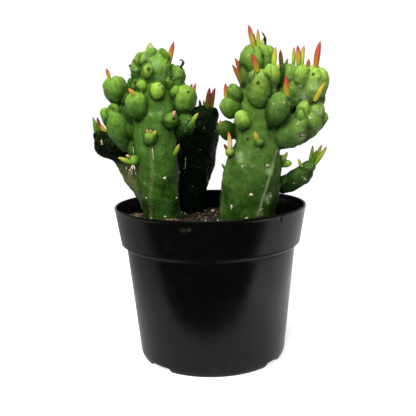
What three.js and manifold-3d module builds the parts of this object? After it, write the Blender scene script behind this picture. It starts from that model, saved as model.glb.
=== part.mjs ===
// Potted gumbi opuntia: four cylindrical cactus stems with knobbly side shoots, awl-shaped leaves
// and woolly areoles, growing in the soil of a round plastic nursery pot.
// Millimetres, +Z up. The origin is the centre of the pot's footprint, and the front is -Y.

import * as THREE from 'three';
import { mergeVertices } from 'three/addons/utils/BufferGeometryUtils.js';
import Module from 'manifold-3d';

const wasm = await Module();
wasm.setup();

// Pot
const POT_HEIGHT = 130;
const RIM_RADIUS = 80;
const LIP = 1.6;
const LEDGE_DROP = 31;
const LEDGE_RADIUS = 75.2;
const NECK_DROP = 37.5;
const NECK_RADIUS = 70.6;
const CORNER_HEIGHT = 10;
const CORNER_RADIUS = 62.3;
const CORNER_ANGLES = [15, 40, 65];
const FOOT_RADIUS = 57.5;
const FOOT_WIDTH = 3;
const FLOOR_HEIGHT = 3.4;
const FILLET = 1.2;
const WALL = 1.3;
const POT_SIDES = 36;
const NOTCH_HEIGHT = 3;
const NOTCH_ANGLES = [-138, -31, 96];
const NOTCH_WIDTH = 24;

// Soil
const SOIL_GAP = 0.35;
const SOIL_LEVEL = 114.5;
const SOIL_TILT = { x: -0.045, y: -0.02 };
const SOIL_MOUNDS = [
  { x: -60, y: -12, height: 4, spread: 9 },
  { x: -31, y: -30, height: 5, spread: 7 },
  { x: 10, y: 30, height: 2, spread: 14 },
];
const SOIL_RINGS = 5;
const SOIL_EDGE_DROP = 8;
const SOIL_CRUMBS = { coarse: 0.8, fine: 0.5 };
const HOLE_GAP = 0.45;
const HOLE_TOP = 145;
const BURIED_TO = 90;

// Stems, shoots and leaves
const STEM_SIDES = 16;
const RING_STEP = 8.5;
const DOME_ANGLES = [35, 65];
const TUBERCLE = 0.7;
const SHOOT_SIDES = 8;
const SHOOT_LOBES = 2;
const SHOOT_LOBE_DEPTH = 0.07;
const LEAF_SIDES = 5;
const BACK_LEAF = { length: 13, width: 3.4, sink: 3, lift: 0.6 };
const NUB = { width: 2.8, height: 1.5, sink: 1.5, sides: 4 };
const SPINE = { width: 0.9, length: 4.5, sink: 1.2, sides: 3, sideways: 0.5, droop: 0.35 };
const CONE = [[0, 1], [1, 0]];
const JOIN_TOLERANCE = 0.1;
const SCRAP_VOLUME = 3;

// Radius along a shoot and along a leaf, as [share of its length, share of its half width]
const SHOOT_PROFILE = [[0, 0.34], [0.14, 0.74], [0.44, 1], [0.74, 0.9], [0.94, 0.47], [1, 0]];
const LEAF_PROFILE = [[0, 0.8], [0.42, 1], [1, 0]];

const vec = (p) => new THREE.Vector3(...p);
const radians = THREE.MathUtils.degToRad;

// Stems. spine is a list of [x, y, z, radius]; dome is the height of the rounded top.
// Tubercles stand in rows `row` apart, `around` to a row, each row turned half a step.
// A shoot or leaf is [foot, tip, width]; an areole is [degrees from the front, height].
const STEMS = [
  {
    name: 'stem_front_left',
    color: 0x3f6b22,
    spine: [
      [-40, -8, BURIED_TO, 14.2], [-40.3, -8, 120, 15.4], [-43, -8, 152, 17], [-44, -8, 172, 17.6],
      [-44, -8, 186, 18], [-43.5, -8, 200, 17.6], [-43.5, -8, 214, 17.4],
      [-43.5, -8, 228, 17], [-44.5, -8, 240, 15.5], [-45.3, -8, 247, 13.5],
    ],
    dome: 8.5,
    tubercles: { around: 4, from: 12, row: 17, start: 123 },
    shoots: [
      // big shoots of the left side
      [[-71, -3, 213], [-78, -6, 236.5], 21],
      [[-57, -6, 214], [-73, -5, 221], 13],
      [[-54, -19, 201], [-58, -24, 223.5], 21],
      [[-67, -12, 183], [-78.5, -12, 211.5], 25],
      [[-70, -12, 190], [-83, -12, 208], 14],
      [[-55, -10, 188], [-68, -8, 201], 16],
      [[-59, -12, 165], [-67, -12, 188], 10],
      [[-62, -6, 196], [-67.5, 0, 211], 11],
            // knobs of the front
      [[-56, -16, 168.5], [-63.5, -22, 169.7], 8],
      [[-47, -22, 180], [-46, -27, 192.5], 11.3],
      [[-31, -19, 194.5], [-28.3, -28, 206], 12],
      [[-40.3, -19, 215.5], [-39.3, -28, 229.5], 11.5],
      // right side
      [[-23, -9, 204.5], [-15.4, -14, 227.7], 20.5],
      [[-25, -10, 187.5], [-13.6, -16, 205], 15],
      // head
      [[-52.5, -8, 230], [-54, -10, 256.5], 15],
      [[-45.8, -11, 232], [-45.3, -8, 257.5], 13.5],
      [[-38, -8, 230], [-36.3, -6, 256.5], 14.5],
      [[-32, -8, 219], [-23, -8, 246.5], 19],
      [[-55.5, -17, 233], [-57.5, -20, 243], 7],
      [[-46.8, -19, 231.5], [-46.2, -24, 241], 7.5],
      [[-55, -17, 224], [-57.7, -21, 233.6], 8.5],
      [[-51, -19, 222], [-52, -25, 232], 8.5],
      [[-31.2, -18, 227], [-29, -24, 237], 7.5],
    ],
    backShoots: [
      [[-46, 3, 205], [-50, 16, 226], 18],
      [[-41, 4, 189], [-39, 17, 208], 16],
      [[-52, 1, 184], [-57, 11, 200], 13],
      [[-38, 1, 220], [-35, 11, 243], 15],
      [[-50, -1, 226], [-54, 8, 248], 13],
      [[-42, 6, 168], [-40, 13, 178], 10],
    ],
    leaves: [
      [[-79, -6, 233.5], [-81, -6, 243], 2.9],
      [[-56.5, -28, 220.5], [-61.8, -32, 226.7], 2.5],
      [[-60.5, -19.5, 168], [-72.2, -26, 172], 2.9],
      [[-44, -28, 188], [-39.2, -33, 192.7], 2.8],
      [[-28.3, -28, 201.5], [-25.7, -33, 206.4], 2.5],
      [[-12.5, -8, 216], [-9.7, -4, 229.7], 2.9],
      [[-15, -10, 220], [-12.5, -6, 229.3], 2.6],
      [[-14.2, -17, 197.5], [-7.8, -20, 205.5], 2.8],
      [[-17.5, -15, 191.5], [-11, -22, 195.5], 2.6],
      [[-29, -14, 171], [-23.3, -24, 182], 2.8],
      [[-29.8, -9, 243.5], [-26, -10, 262.3], 4],
      [[-46.2, -8, 254], [-46.5, -8, 261.8], 2.5],
      [[-43.3, -9, 254.5], [-45.3, -10, 261.7], 2.3],
      [[-22.5, -9, 241.5], [-18.2, -10, 246.5], 2.3],
      [[-58.5, -14, 241], [-61.3, -16, 244.5], 2.6],
    ],
    areoles: [
      [23, 156], [-33, 140], [58, 137.5], [12, 123.5], [-34, 122.5], [-3, 206], [20, 204], [-48, 160],
      [102, 157], [147, 140], [-168, 157], [-123, 140], [102, 124], [-168, 124], [147, 174], [-123, 174],
    ],
  },
  {
    name: 'stem_right',
    color: 0x3f7024,
    spine: [
      [27, -10, BURIED_TO, 20], [29, -10, 119, 21.7], [31.8, -10, 134, 23.3], [34.2, -10, 147, 24.2],
      [36.3, -10, 161, 22.8], [38.2, -10, 172, 19.6], [38.8, -10, 183, 17], [39, -10, 197, 16.2],
      [37.8, -10, 211, 13.6], [37.6, -10, 222, 13], [38.5, -10, 234, 13.2], [40, -10, 246, 12],
    ],
    dome: 8,
    tubercles: { around: 6, from: -33, row: 16.5, start: 130 },
    shoots: [
      // head
      [[36, -8, 229], [37.5, -12, 258.8], 17],
      [[45.8, -6, 229], [47.6, -6, 260.2], 15],
      [[40.5, -19, 208], [39.2, -33, 239], 20.5],
      [[35.5, -26, 230], [33.9, -33, 239], 7.5],
      [[41.3, -26, 230], [40.4, -33, 239], 7.5],
      [[47.5, -14, 226.5], [50.7, -22, 243.3], 14],
      // upper right arm
      [[50, -8, 190], [80, -8, 222], 22],
      [[62, 1, 208], [61, 4, 243.8], 13.5],
      [[68, -3, 215], [67.7, -2, 245], 10.5],
      [[71.5, -11, 210], [73.4, -21, 243], 13.5],
      [[79, -8, 205], [92.5, -10, 243], 21],
      [[82, -7, 208], [96.5, -6, 238], 13.5],
      [[76, 0, 212], [83, 7, 236], 13],
      // lower right arm
      [[46, -10, 176], [80, -14, 191], 23],
      [[60, -12, 180], [87, -14, 203.5], 24.5],
      [[76, -14, 192], [80.4, -18, 213], 11.5],
      [[81, -12, 193], [89.3, -12, 212.6], 11],
      [[82, -12, 190], [95.5, -10, 206], 12],
      [[74, -4, 190], [82, 2, 207], 12],
      // shoots of the front and the left side
      [[50.5, -23, 195], [59, -31, 220], 20],
      [[58.5, -29, 212], [62, -32, 219], 7],
      [[26, -14, 213], [16, -20, 227.5], 13],
      [[26, -14, 203], [11, -19, 216], 15.5],
      [[28.5, -20, 190], [24.7, -31, 206.6], 14.5],
      [[24, -6, 185.5], [7.8, -8, 196.6], 14.5],
      [[23, -13, 170], [14.3, -18, 176.3], 7.8],
      [[72.5, -20, 198], [73.5, -25, 207], 6],
      [[55, -8, 158.5], [66.6, -8, 166], 6.2],
      // offset low on the right
      [[46, 1, 133], [70, 0, 147], 13],
      [[54, 1, 135], [88, 0, 162.5], 17.5],
      [[76, 0, 147.5], [91.5, 0, 162], 13.5],
    ],
    backShoots: [
      [[40, 0, 189], [42, 15, 210], 18],
      [[31, 0, 180], [25, 11, 198], 16],
      [[46, -1, 203], [53, 11, 224], 16],
      [[35, -2, 220], [31, 8, 244], 14],
      [[44, -2, 224], [48, 7, 247], 12],
      [[41, 8, 158], [43, 18, 175], 13],
    ],
    leaves: [
      [[37.5, -33, 234.5], [32.9, -36, 250.6], 3.8],
      [[34.6, -32.5, 236.5], [28, -38, 245.7], 2.3],
      [[52, -21.5, 239], [53.3, -22, 256], 3.6],
      [[61.3, 4, 240.5], [60.2, 4, 254.9], 3.2],
      [[63.2, 3, 240.5], [65.3, 2, 248], 2.5],
      [[69.5, -3, 241.5], [70.3, -4, 256.5], 3],
      [[72.1, -18.5, 240], [71.1, -18, 257.1], 3.5],
      [[75.2, -17.5, 239.5], [76.4, -16, 257], 3.3],
      [[83, -8, 232], [81.9, -6, 246.5], 2.8],
      [[87.8, -10, 238.5], [90.7, -10, 260.3], 4.5],
      [[85.5, -14.5, 210], [93.4, -16, 227.6], 3.9],
      [[61.7, -31.5, 215], [60.2, -34, 233.3], 4.3],
      [[14.8, -18, 215.5], [14.2, -20, 229], 3.3],
      [[10.8, -11, 194], [9.4, -16, 199.8], 2.8],
      [[17, -17.5, 173.5], [15.7, -22, 190.6], 3.9],
      [[15, -17, 174.5], [11.8, -20, 179.8], 2.6],
      [[41, -24, 178], [35.9, -34, 191.3], 3.6],
      [[32, -24, 180], [30.6, -30, 186], 3],
      [[60, -8, 161], [64.4, -10, 171.8], 3],
      [[83.3, 0, 161], [87.4, 0, 176.6], 3],
      [[85, -2, 161.5], [89, -3, 174], 2.7],
      [[87, 2, 160.5], [95.4, 3, 177.3], 3.3],
      [[87.5, -1, 160.5], [98.6, -1, 176.4], 3.4],
      [[76.5, -4, 157.5], [72.9, -5, 166.6], 2.7],
      [[15.5, -13, 157.5], [9.9, -17, 165.2], 2.6],
      [[27, -9.5, 232.5], [22.6, -10, 248.5], 3.3],
      [[27.5, -11, 228.5], [20.3, -12, 243.3], 3.3],
      [[37.6, -12, 255], [33.4, -12, 274.2], 3.7],
      [[41, -8, 251], [41.1, -8, 271], 3.1],
      [[39.7, -5, 252], [38, -4, 267.8], 3],
      [[44, -7.5, 253], [45.1, -8, 264], 2.4],
      [[46.4, -7, 257], [44.1, -8, 268.7], 2.6],
    ],
    areoles: [
      [-27, 163.5], [24, 163.5], [-2, 141.5], [-36, 132], [-2, 122.5], [22, 129], [41, 139], [-73, 145],
      [-25, 183.5], [87, 146], [147, 146], [-153, 146], [117, 130], [177, 130], [-123, 130], [87, 179],
      [177, 163], [-123, 163], [-93, 179],
    ],
  },
  {
    name: 'stem_back_centre',
    color: 0x274d1e,
    spine: [
      [-19.5, 44, BURIED_TO, 12], [-19.2, 44, 118, 12.8], [-18.2, 44, 134, 14.2], [-15.5, 44, 146, 15.6],
      [-12, 44, 162, 17.2], [-9, 44, 182, 17.6], [-6.2, 44, 197, 16.5], [-5, 44, 203, 14],
    ],
    dome: 6,
    tubercles: { around: 4, from: 10, row: 16, start: 125 },
    shoots: [
      [[1, 42, 188], [5.5, 40, 209.5], 12.5],
      [[-5.5, 41, 193], [-7.8, 38, 211], 13],
      [[-14, 40, 190], [-17, 38, 207], 12],
    ],
    backShoots: [
      [[-14, 53, 150], [-16, 65, 167], 15],
      [[-8, 55, 177], [-5, 66, 197], 16],
      [[-14, 50, 188], [-18, 56, 206], 13],
      [[-1, 52, 160], [1, 63, 176], 12],
      [[-20, 54, 130], [-24, 62, 142], 10],
    ],
    leaves: [
      [[1, 40, 205], [3, 39, 226.3], 4.4],
      [[5, 40.5, 206], [7.2, 42, 226], 3.8],
      [[-6.4, 39, 207], [-7.2, 38, 216], 2.7],
      [[-4, 41, 205], [-3.6, 40, 215.6], 2.7],
    ],
    areoles: [
      [10, 141], [-28, 157], [50, 157], [10, 173], [-35, 189], [55, 189], [14, 192],
      [100, 141], [-170, 141], [145, 157], [-125, 157], [100, 173], [-80, 173],
    ],
  },
  {
    name: 'stem_back_left',
    color: 0x2c4f22,
    spine: [
      [-47, 20, BURIED_TO, 7], [-48.5, 20, 118, 7.2], [-55, 20.5, 135, 6.8], [-64.5, 21, 148, 5.8],
      [-72.5, 22, 163, 5.2], [-79.5, 22, 171.5, 9.2], [-87.5, 22, 178, 12.2], [-90.5, 22, 183, 10.5],
    ],
    dome: 6,
    tubercles: { around: 3, from: 20, row: 13, start: 125 },
    shoots: [
      [[-93, 21, 181], [-98.2, 19, 190.3], 10],
      [[-88, 20, 180], [-90, 17, 192], 9],
      [[-83, 19, 174], [-82, 12, 184], 10],
      [[-84, 23, 176], [-79, 24, 188], 10],
      [[-92, 21, 176], [-99.5, 19, 179], 9],
    ],
    backShoots: [
      [[-86, 26, 173], [-86, 37, 184], 12],
      [[-93, 26, 179], [-97, 32, 186], 9],
    ],
    leaves: [
      [[-96, 20, 186.5], [-98.7, 19, 203.5], 3.2],
      [[-94, 20, 187], [-94.8, 19, 203.3], 3],
      [[-89.6, 18, 188.5], [-92.3, 16, 197.3], 2.9],
    ],
    areoles: [[-20, 132], [80, 146], [-160, 146], [20, 158]],
  },
];

// Turns a closed three.js geometry into a solid for the boolean steps.
function solidOf(geometry) {
  const bare = geometry.clone();
  bare.deleteAttribute('normal');
  bare.deleteAttribute('uv');
  const merged = mergeVertices(bare, 1e-5);
  return new wasm.Manifold(new wasm.Mesh({
    numProp: 3,
    vertProperties: new Float32Array(merged.attributes.position.array),
    triVerts: new Uint32Array(merged.index.array),
  }));
}

// The outer body of a solid, without pockets that the joins sealed. A piece that misses it is an error.
function outerBody(solid, name) {
  const pieces = solid.decompose().sort((a, b) => b.volume() - a.volume());
  for (const loose of pieces.slice(1)) {
    if (loose.volume() < SCRAP_VOLUME) continue;
    const { min, max } = loose.boundingBox();
    throw new Error(`${name}: a loose piece lies between ${min} and ${max}`);
  }
  return pieces[0];
}

function geometryOf(solid) {
  const mesh = solid.getMesh();
  const geometry = new THREE.BufferGeometry();
  const vertices = new Float32Array(mesh.numVert * 3);
  for (let i = 0; i < mesh.numVert; i += 1) {
    for (let k = 0; k < 3; k += 1) vertices[3 * i + k] = mesh.vertProperties[mesh.numProp * i + k];
  }
  geometry.setAttribute('position', new THREE.BufferAttribute(vertices, 3));
  geometry.setIndex([...mesh.triVerts]);
  geometry.computeVertexNormals();
  return geometry;
}

// A closed skin over rings of points that follow a path. Angle 0 faces the front, and a quarter
// turn on faces +X when the path runs straight up. radiusAt gives the radius in a ring at an angle.
function loft(rings, sides, radiusAt) {
  const front = new THREE.Vector3(0, -1, 0);
  const points = [];
  for (const ring of rings) {
    const ahead = ring.along.clone().normalize();
    const across = front.clone().addScaledVector(ahead, -front.dot(ahead)).normalize();
    const beside = ahead.clone().cross(across);
    for (let j = 0; j < sides; j += 1) {
      const angle = (2 * Math.PI * j) / sides;
      const radius = radiusAt(ring, angle);
      points.push(ring.centre.clone()
        .addScaledVector(across, radius * Math.cos(angle))
        .addScaledVector(beside, radius * Math.sin(angle)));
    }
  }
  const start = points.length;
  const last = rings.length - 1;
  points.push(rings[0].centre.clone(), rings[last].apex.clone());
  const faces = [];
  for (let j = 0; j < sides; j += 1) {
    const next = (j + 1) % sides;
    faces.push(start, next, j);
    faces.push(start + 1, last * sides + j, last * sides + next);
    for (let i = 0; i < last; i += 1) {
      const a = i * sides + j;
      const b = i * sides + next;
      faces.push(a, b, b + sides, a, b + sides, a + sides);
    }
  }
  const geometry = new THREE.BufferGeometry().setFromPoints(points);
  geometry.setIndex(faces);
  return geometry;
}

// A shoot, leaf or spine: a straight tapered body from its foot to its tip.
function finger(foot, tip, width, profile, sides, lobeDepth = 0) {
  const along = tip.clone().sub(foot);
  const rings = profile.slice(0, -1).map(([share, radius]) => ({
    centre: foot.clone().addScaledVector(along, share),
    along,
    radius: (radius * width) / 2,
    share,
    apex: tip,
  }));
  return loft(rings, sides, (ring, angle) => (
    ring.radius * (1 + lobeDepth * ring.share * Math.cos(SHOOT_LOBES * angle))
  ));
}

// The spine of a stem as a smooth curve, with its radius read off between the listed points.
function spineOf(stem) {
  const curve = new THREE.CatmullRomCurve3(stem.spine.map(([x, y, z]) => new THREE.Vector3(x, y, z)));
  const spans = stem.spine.length - 1;
  return (t) => {
    const i = Math.min(Math.floor(t * spans), spans - 1);
    const radius = THREE.MathUtils.lerp(stem.spine[i][3], stem.spine[i + 1][3], t * spans - i);
    return { centre: curve.getPoint(t), along: curve.getTangent(t), radius };
  };
}

// Tubercles: low swellings in staggered rows, fading out below the soil.
function tubercle(stem, height, angle) {
  const { around, from, row, start } = stem.tubercles;
  const fade = THREE.MathUtils.smoothstep(height, BURIED_TO, start);
  const round = Math.cos(around * (angle - radians(from)));
  const up = Math.cos((Math.PI * (height - start)) / row);
  return TUBERCLE * fade * round * up;
}

// A stem's column, made wider all round by `grow`, or only its buried part.
function column(stem, grow = 0, buriedOnly = false) {
  const at = spineOf(stem);
  const length = stem.spine[stem.spine.length - 1][2] - BURIED_TO;
  const steps = Math.round(length / RING_STEP);
  const rings = [];
  for (let i = 0; i <= steps; i += 1) rings.push(at(i / steps));
  const top = rings[steps];
  for (const degrees of DOME_ANGLES) {
    const rise = stem.dome * Math.sin(radians(degrees));
    rings.push({
      centre: top.centre.clone().addScaledVector(top.along, rise),
      along: top.along,
      radius: top.radius * Math.cos(radians(degrees)),
    });
  }
  const kept = buriedOnly ? rings.filter((ring) => ring.centre.z < HOLE_TOP) : rings;
  const last = kept[kept.length - 1];
  kept[0].centre.z -= grow;
  last.apex = buriedOnly ? last.centre.clone() : top.centre.clone().addScaledVector(top.along, stem.dome);
  return loft(kept, STEM_SIDES, (ring, angle) => {
    const share = Math.min(1, ring.radius / top.radius);
    return ring.radius + grow + share * tubercle(stem, ring.centre.z, angle);
  });
}

// A woolly nub and one short spine on the column, leaning down a little as they do in life.
function areole(stem, degrees, height) {
  const at = spineOf(stem);
  let low = 0;
  let high = 1;
  while (high - low > 1e-3) {
    const middle = (low + high) / 2;
    if (at(middle).centre.z < height) low = middle;
    else high = middle;
  }
  const { centre, radius } = at(low);
  const angle = radians(degrees);
  const out = new THREE.Vector3(Math.sin(angle), -Math.cos(angle), 0);
  const skin = centre.clone().addScaledVector(out, radius);
  const nubFoot = skin.clone().addScaledVector(out, -NUB.sink);
  const nubTip = skin.clone().addScaledVector(out, NUB.height);
  const beside = new THREE.Vector3(out.y, -out.x, 0);
  const lean = out.clone().addScaledVector(beside, SPINE.sideways);
  lean.z -= SPINE.droop;
  lean.normalize();
  const spineFoot = skin.clone().addScaledVector(out, -SPINE.sink);
  const spineTip = skin.clone().addScaledVector(lean, SPINE.length);
  return [
    finger(nubFoot, nubTip, NUB.width, CONE, NUB.sides),
    finger(spineFoot, spineTip, SPINE.width, CONE, SPINE.sides),
  ];
}

// Every shoot at the back carries a leaf on its tip, except each third one.
function backLeaves(shoots) {
  return shoots.filter((_, i) => i % 3 !== 2).map(([foot, tip]) => {
    const rise = vec(tip).sub(vec(foot)).normalize();
    rise.z += BACK_LEAF.lift;
    rise.normalize();
    const start = vec(tip).addScaledVector(rise, -BACK_LEAF.sink);
    return [start.toArray(), start.clone().addScaledVector(rise, BACK_LEAF.length).toArray(), BACK_LEAF.width];
  });
}

function growStem(stem) {
  const parts = [];
  for (const [foot, tip, width] of [...stem.shoots, ...stem.backShoots]) {
    parts.push(finger(vec(foot), vec(tip), width, SHOOT_PROFILE, SHOOT_SIDES, SHOOT_LOBE_DEPTH));
  }
  for (const [foot, tip, width] of [...stem.leaves, ...backLeaves(stem.backShoots)]) {
    parts.push(finger(vec(foot), vec(tip), width, LEAF_PROFILE, LEAF_SIDES));
  }
  for (const [degrees, height] of stem.areoles) parts.push(...areole(stem, degrees, height));
  let body = solidOf(column(stem));
  for (const part of parts) body = body.add(solidOf(part));
  return outerBody(body.simplify(JOIN_TOLERANCE), stem.name);
}

// The pot's outer side from its foot to the lip, as [radius, height].
function potOutside() {
  const ledge = POT_HEIGHT - LEDGE_DROP;
  const neck = POT_HEIGHT - NECK_DROP;
  const corner = CORNER_ANGLES.map((degrees) => [
    FOOT_RADIUS + (CORNER_RADIUS - FOOT_RADIUS) * Math.sin(radians(degrees)),
    CORNER_HEIGHT * (1 - Math.cos(radians(degrees))),
  ]);
  return [
    [FOOT_RADIUS, 0], ...corner, [CORNER_RADIUS, CORNER_HEIGHT],
    [NECK_RADIUS, neck], [NECK_RADIUS + FILLET, neck + 2 * FILLET],
    [LEDGE_RADIUS - FILLET, ledge - 2 * FILLET], [LEDGE_RADIUS, ledge],
    [RIM_RADIUS - FILLET / 2, POT_HEIGHT - 2 * FILLET], [RIM_RADIUS, POT_HEIGHT - FILLET],
    [RIM_RADIUS - FILLET / 2, POT_HEIGHT],
  ];
}

// The pot's inner side from the rim down to its floor, made smaller by `inset`.
function potInside(inset) {
  const ledge = POT_HEIGHT - LEDGE_DROP;
  const neck = POT_HEIGHT - NECK_DROP;
  const floor = FLOOR_HEIGHT + WALL + inset;
  const shrink = WALL + inset;
  return [
    [RIM_RADIUS - LIP - inset, POT_HEIGHT], [LEDGE_RADIUS - shrink, ledge + FILLET],
    [NECK_RADIUS - shrink, neck + FILLET], [CORNER_RADIUS - shrink, CORNER_HEIGHT + FILLET],
    [FOOT_RADIUS - shrink + FILLET, floor + FILLET], [FOOT_RADIUS - shrink - FILLET, floor], [0, floor],
  ];
}

// A body of revolution about +Z from [radius, height] points that start and end on the axis.
function turned(profile, sides) {
  const points = profile.map(([radius, height]) => new THREE.Vector2(radius, height));
  const geometry = new THREE.LatheGeometry(points, sides);
  geometry.rotateX(Math.PI / 2);
  return geometry;
}

function pot() {
  const underside = [
    [0, FLOOR_HEIGHT], [FOOT_RADIUS - FOOT_WIDTH - FILLET, FLOOR_HEIGHT], [FOOT_RADIUS - FOOT_WIDTH, 0],
  ];
  let body = solidOf(turned([...underside, ...potOutside(), ...potInside(0)], POT_SIDES));
  for (const degrees of NOTCH_ANGLES) {
    const notch = new THREE.BoxGeometry(2 * CORNER_RADIUS, NOTCH_WIDTH, 2 * NOTCH_HEIGHT);
    notch.translate(CORNER_RADIUS + FOOT_RADIUS / 2, 0, 0);
    notch.rotateZ(radians(degrees));
    body = body.subtract(solidOf(notch));
  }
  return outerBody(body, 'pot');
}

function soilHeight(x, y) {
  let height = SOIL_LEVEL + SOIL_TILT.x * x + SOIL_TILT.y * y;
  for (const mound of SOIL_MOUNDS) {
    const square = (x - mound.x) ** 2 + (y - mound.y) ** 2;
    height += mound.height * Math.exp(-square / (2 * mound.spread ** 2));
  }
  const coarse = Math.sin(0.35 * x + 1) * Math.cos(0.3 * y);
  const fine = Math.sin(0.8 * x - 0.6 * y);
  return height + SOIL_CRUMBS.coarse * coarse + SOIL_CRUMBS.fine * fine;
}

// The soil fills the pot up to an uneven surface, with a plain hole for each stem.
function soil() {
  const side = potInside(SOIL_GAP).slice(1).reverse();
  const slope = (RIM_RADIUS - LIP - LEDGE_RADIUS + WALL) / LEDGE_DROP;
  const edge = LEDGE_RADIUS - WALL - SOIL_GAP + slope * (SOIL_LEVEL - POT_HEIGHT + LEDGE_DROP - SOIL_EDGE_DROP);
  const top = [];
  for (let i = SOIL_RINGS; i >= 0; i -= 1) top.push([(edge * i) / SOIL_RINGS, SOIL_LEVEL]);
  const geometry = turned([...side, ...top], POT_SIDES);
  const place = geometry.attributes.position;
  for (let i = 0; i < place.count; i += 1) {
    if (place.getZ(i) > SOIL_LEVEL - 1) place.setZ(i, soilHeight(place.getX(i), place.getY(i)));
  }
  let body = solidOf(geometry);
  for (const stem of STEMS) body = body.subtract(solidOf(column(stem, HOLE_GAP, true)));
  return outerBody(body, 'soil');
}

function mesh(name, solid, color, roughness) {
  const material = new THREE.MeshStandardMaterial({ color, roughness, metalness: 0 });
  const piece = new THREE.Mesh(geometryOf(solid), material);
  piece.name = name;
  return piece;
}

const plant = new THREE.Group();
plant.add(mesh('pot', pot(), 0x1c1c1a, 0.4));
plant.add(mesh('soil', soil(), 0x3a2a1c, 0.95));
for (const stem of STEMS) plant.add(mesh(stem.name, growStem(stem), stem.color, 0.5));

export default plant;
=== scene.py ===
import functools
import math

import bmesh
import bpy
import numpy as np
from mathutils import Matrix, Vector


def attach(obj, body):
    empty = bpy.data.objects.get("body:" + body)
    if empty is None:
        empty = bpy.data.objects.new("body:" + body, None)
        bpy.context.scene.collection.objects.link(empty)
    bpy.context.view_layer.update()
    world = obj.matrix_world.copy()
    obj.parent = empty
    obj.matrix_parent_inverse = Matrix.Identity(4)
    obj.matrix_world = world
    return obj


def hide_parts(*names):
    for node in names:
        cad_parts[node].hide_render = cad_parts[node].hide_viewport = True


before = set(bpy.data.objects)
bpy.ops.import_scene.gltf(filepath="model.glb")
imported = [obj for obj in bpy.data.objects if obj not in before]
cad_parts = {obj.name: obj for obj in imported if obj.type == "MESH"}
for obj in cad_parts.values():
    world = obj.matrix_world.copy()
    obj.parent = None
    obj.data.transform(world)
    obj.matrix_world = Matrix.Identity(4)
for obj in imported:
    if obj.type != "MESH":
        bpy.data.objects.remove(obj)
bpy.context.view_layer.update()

MM = 0.001
FRONT = np.array([0.0, -1.0, 0.0])
WHITE = (1.0, 1.0, 1.0)

# Camera, fitted to the pot's circles in the photograph
PHOTO_SIZE = 416
FOCAL_PIXELS = 673.5
SENSOR = 36.0
CAMERA_PLACE = Vector((-1.8, -560.0, 222.0)) * MM
CAMERA_PITCH = 9.74
CAMERA_ROLL = -1.27
CLIP = (0.01, 20)

# Pot
POT_HEIGHT = 130.0
RIM_RADIUS = 80.0
LIP = 1.6
LEDGE_DROP = 31.0
LEDGE_RADIUS = 75.2
NECK_DROP = 37.5
NECK_RADIUS = 70.6
CORNER_HEIGHT = 10.0
CORNER_RADIUS = 62.3
FOOT_RADIUS = 57.5
FOOT_WIDTH = 3.0
FLOOR_HEIGHT = 3.4
WALL = 1.3
POT_SIDES = 480
# Steps out from the neck, round the ledge's edge and below the rim, as (outwards, upwards)
NECK_BEND = ((0, 0), (0.35, 4.4), (0.5, 4.75), (0.9, 4.95))
LEDGE_BEND = ((-0.9, -0.25), (-0.35, -0.1), (-0.05, 0.25), (0.05, 0.8))
RIM_BEND = ((-0.35, -2.6), (-0.3, -2.4), (-0.05, -2.0), (0, -1.5))
RIM_ROUND = 0.8
# Drain notches, as (degrees from +X, width)
NOTCHES = ((-137, 24.0), (-36.5, 17.5), (96, 24.0))
NOTCH_HEIGHT = 4.3
NOTCH_SLOPE = 1.5
# How many steps the straight stretches of the section have
SECTION_STEPS = {"wall": 14, "band": 24, "inside": 8}
# How far the rim is out of true above a height: all round, and the size, number and turn of its waves
RIM_WAVES_FROM = 105
RIM_WAVES = (0.12, 0.10, 3, 40)
# A cleft in the rim: degrees from the front, half width in degrees, depth; and the heights of its foot
CLEFT = (42.2, 0.75, 0.7)
CLEFT_FOOT = (122.5, 126.5)
# Where and how much the gloss is cut: the heights where wear sets in on the lip; and under the ledge, where
# the cut gloss is painted shade, from its height, where it sets in and where it ends; the ledge's amount
# also dulls the cleft
WORN_LIP = (127.4, 129.4)
LEDGE_SHADE_SPAN = (-3.4, -2.4, 0.4, 1.3)
LIP_WEAR = 0.8
LEDGE_SHADE_AND_CLEFT_WEAR = 1.15
# Scuffs, as (degrees from the front, height, half width in degrees, half height, strength)
SCUFFS = (
    (-14.6, 122.7, 2.0, 1.3, 0.34), (-11.6, 123.2, 0.7, 1.0, 0.9), (-25, 108, 1.6, 0.9, 0.12),
    (0.8, 7.5, 0.9, 3.2, 0.13), (11, 7, 0.9, 3.2, 0.13),
)

# Soil, with mounds as (x, y, rise, spread) and a heap of fibres as (x, y), its spread and its share
SOIL_LEVEL = 114.5
SOIL_FOOT = 6.0
SOIL_TILT = (-0.045, -0.02)
SOIL_MOUNDS = ((-60, -12, 4, 9), (-31, -30, 5, 7), (10, 30, 2, 14))
FIBRE_HEAP = ((-34, -28), 4.5, 0.35)
SOIL_RINGS = 110
SOIL_SIDES = 300
# How far the soil stays clear of the wall: at its foot, up to the neck, and at its top, which is fitted to
# the wall a little below its level; its lower corner's height; and how far and how widely its rim slumps
SOIL_CLEAR = (6, 2.5, 0.3)
SOIL_FITTED = 8
SOIL_CORNER = 14
SLUMP = 1.5
SLUMP_WIDTH = 4
# Crumbs of its top, as (wavelength, seed, size), and how far from the wall loose bits lie
CRUMBS = ((5.5, 31, 0.55), (2.4, 32, 0.35))
BITS_CLEAR = 3
# Sizes of the loose bits, and their lumps as (wavelength, seed, strength)
CLOD_SIZES = (0.5, 2.0)
CLOD_SHAPE = np.array([1, 0.8, 0.6])
CHIP_LENGTHS = (1.2, 3.4)
CHIP_WIDTHS = (0.5, 1.1)
CHIP_THICKNESS = 0.35
PERLITE_SIZES = (0.6, 1.3)
PERLITE_SHAPE = np.array([1, 1, 0.8])
BIT_LUMPS = (1.3, 12, 0.25)
FIBRE_LENGTHS = (3, 9)
FIBRE_RADII = (0.12, 0.3)
FIBRE_RINGS = 9
FIBRE_SIDES = 5
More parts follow.
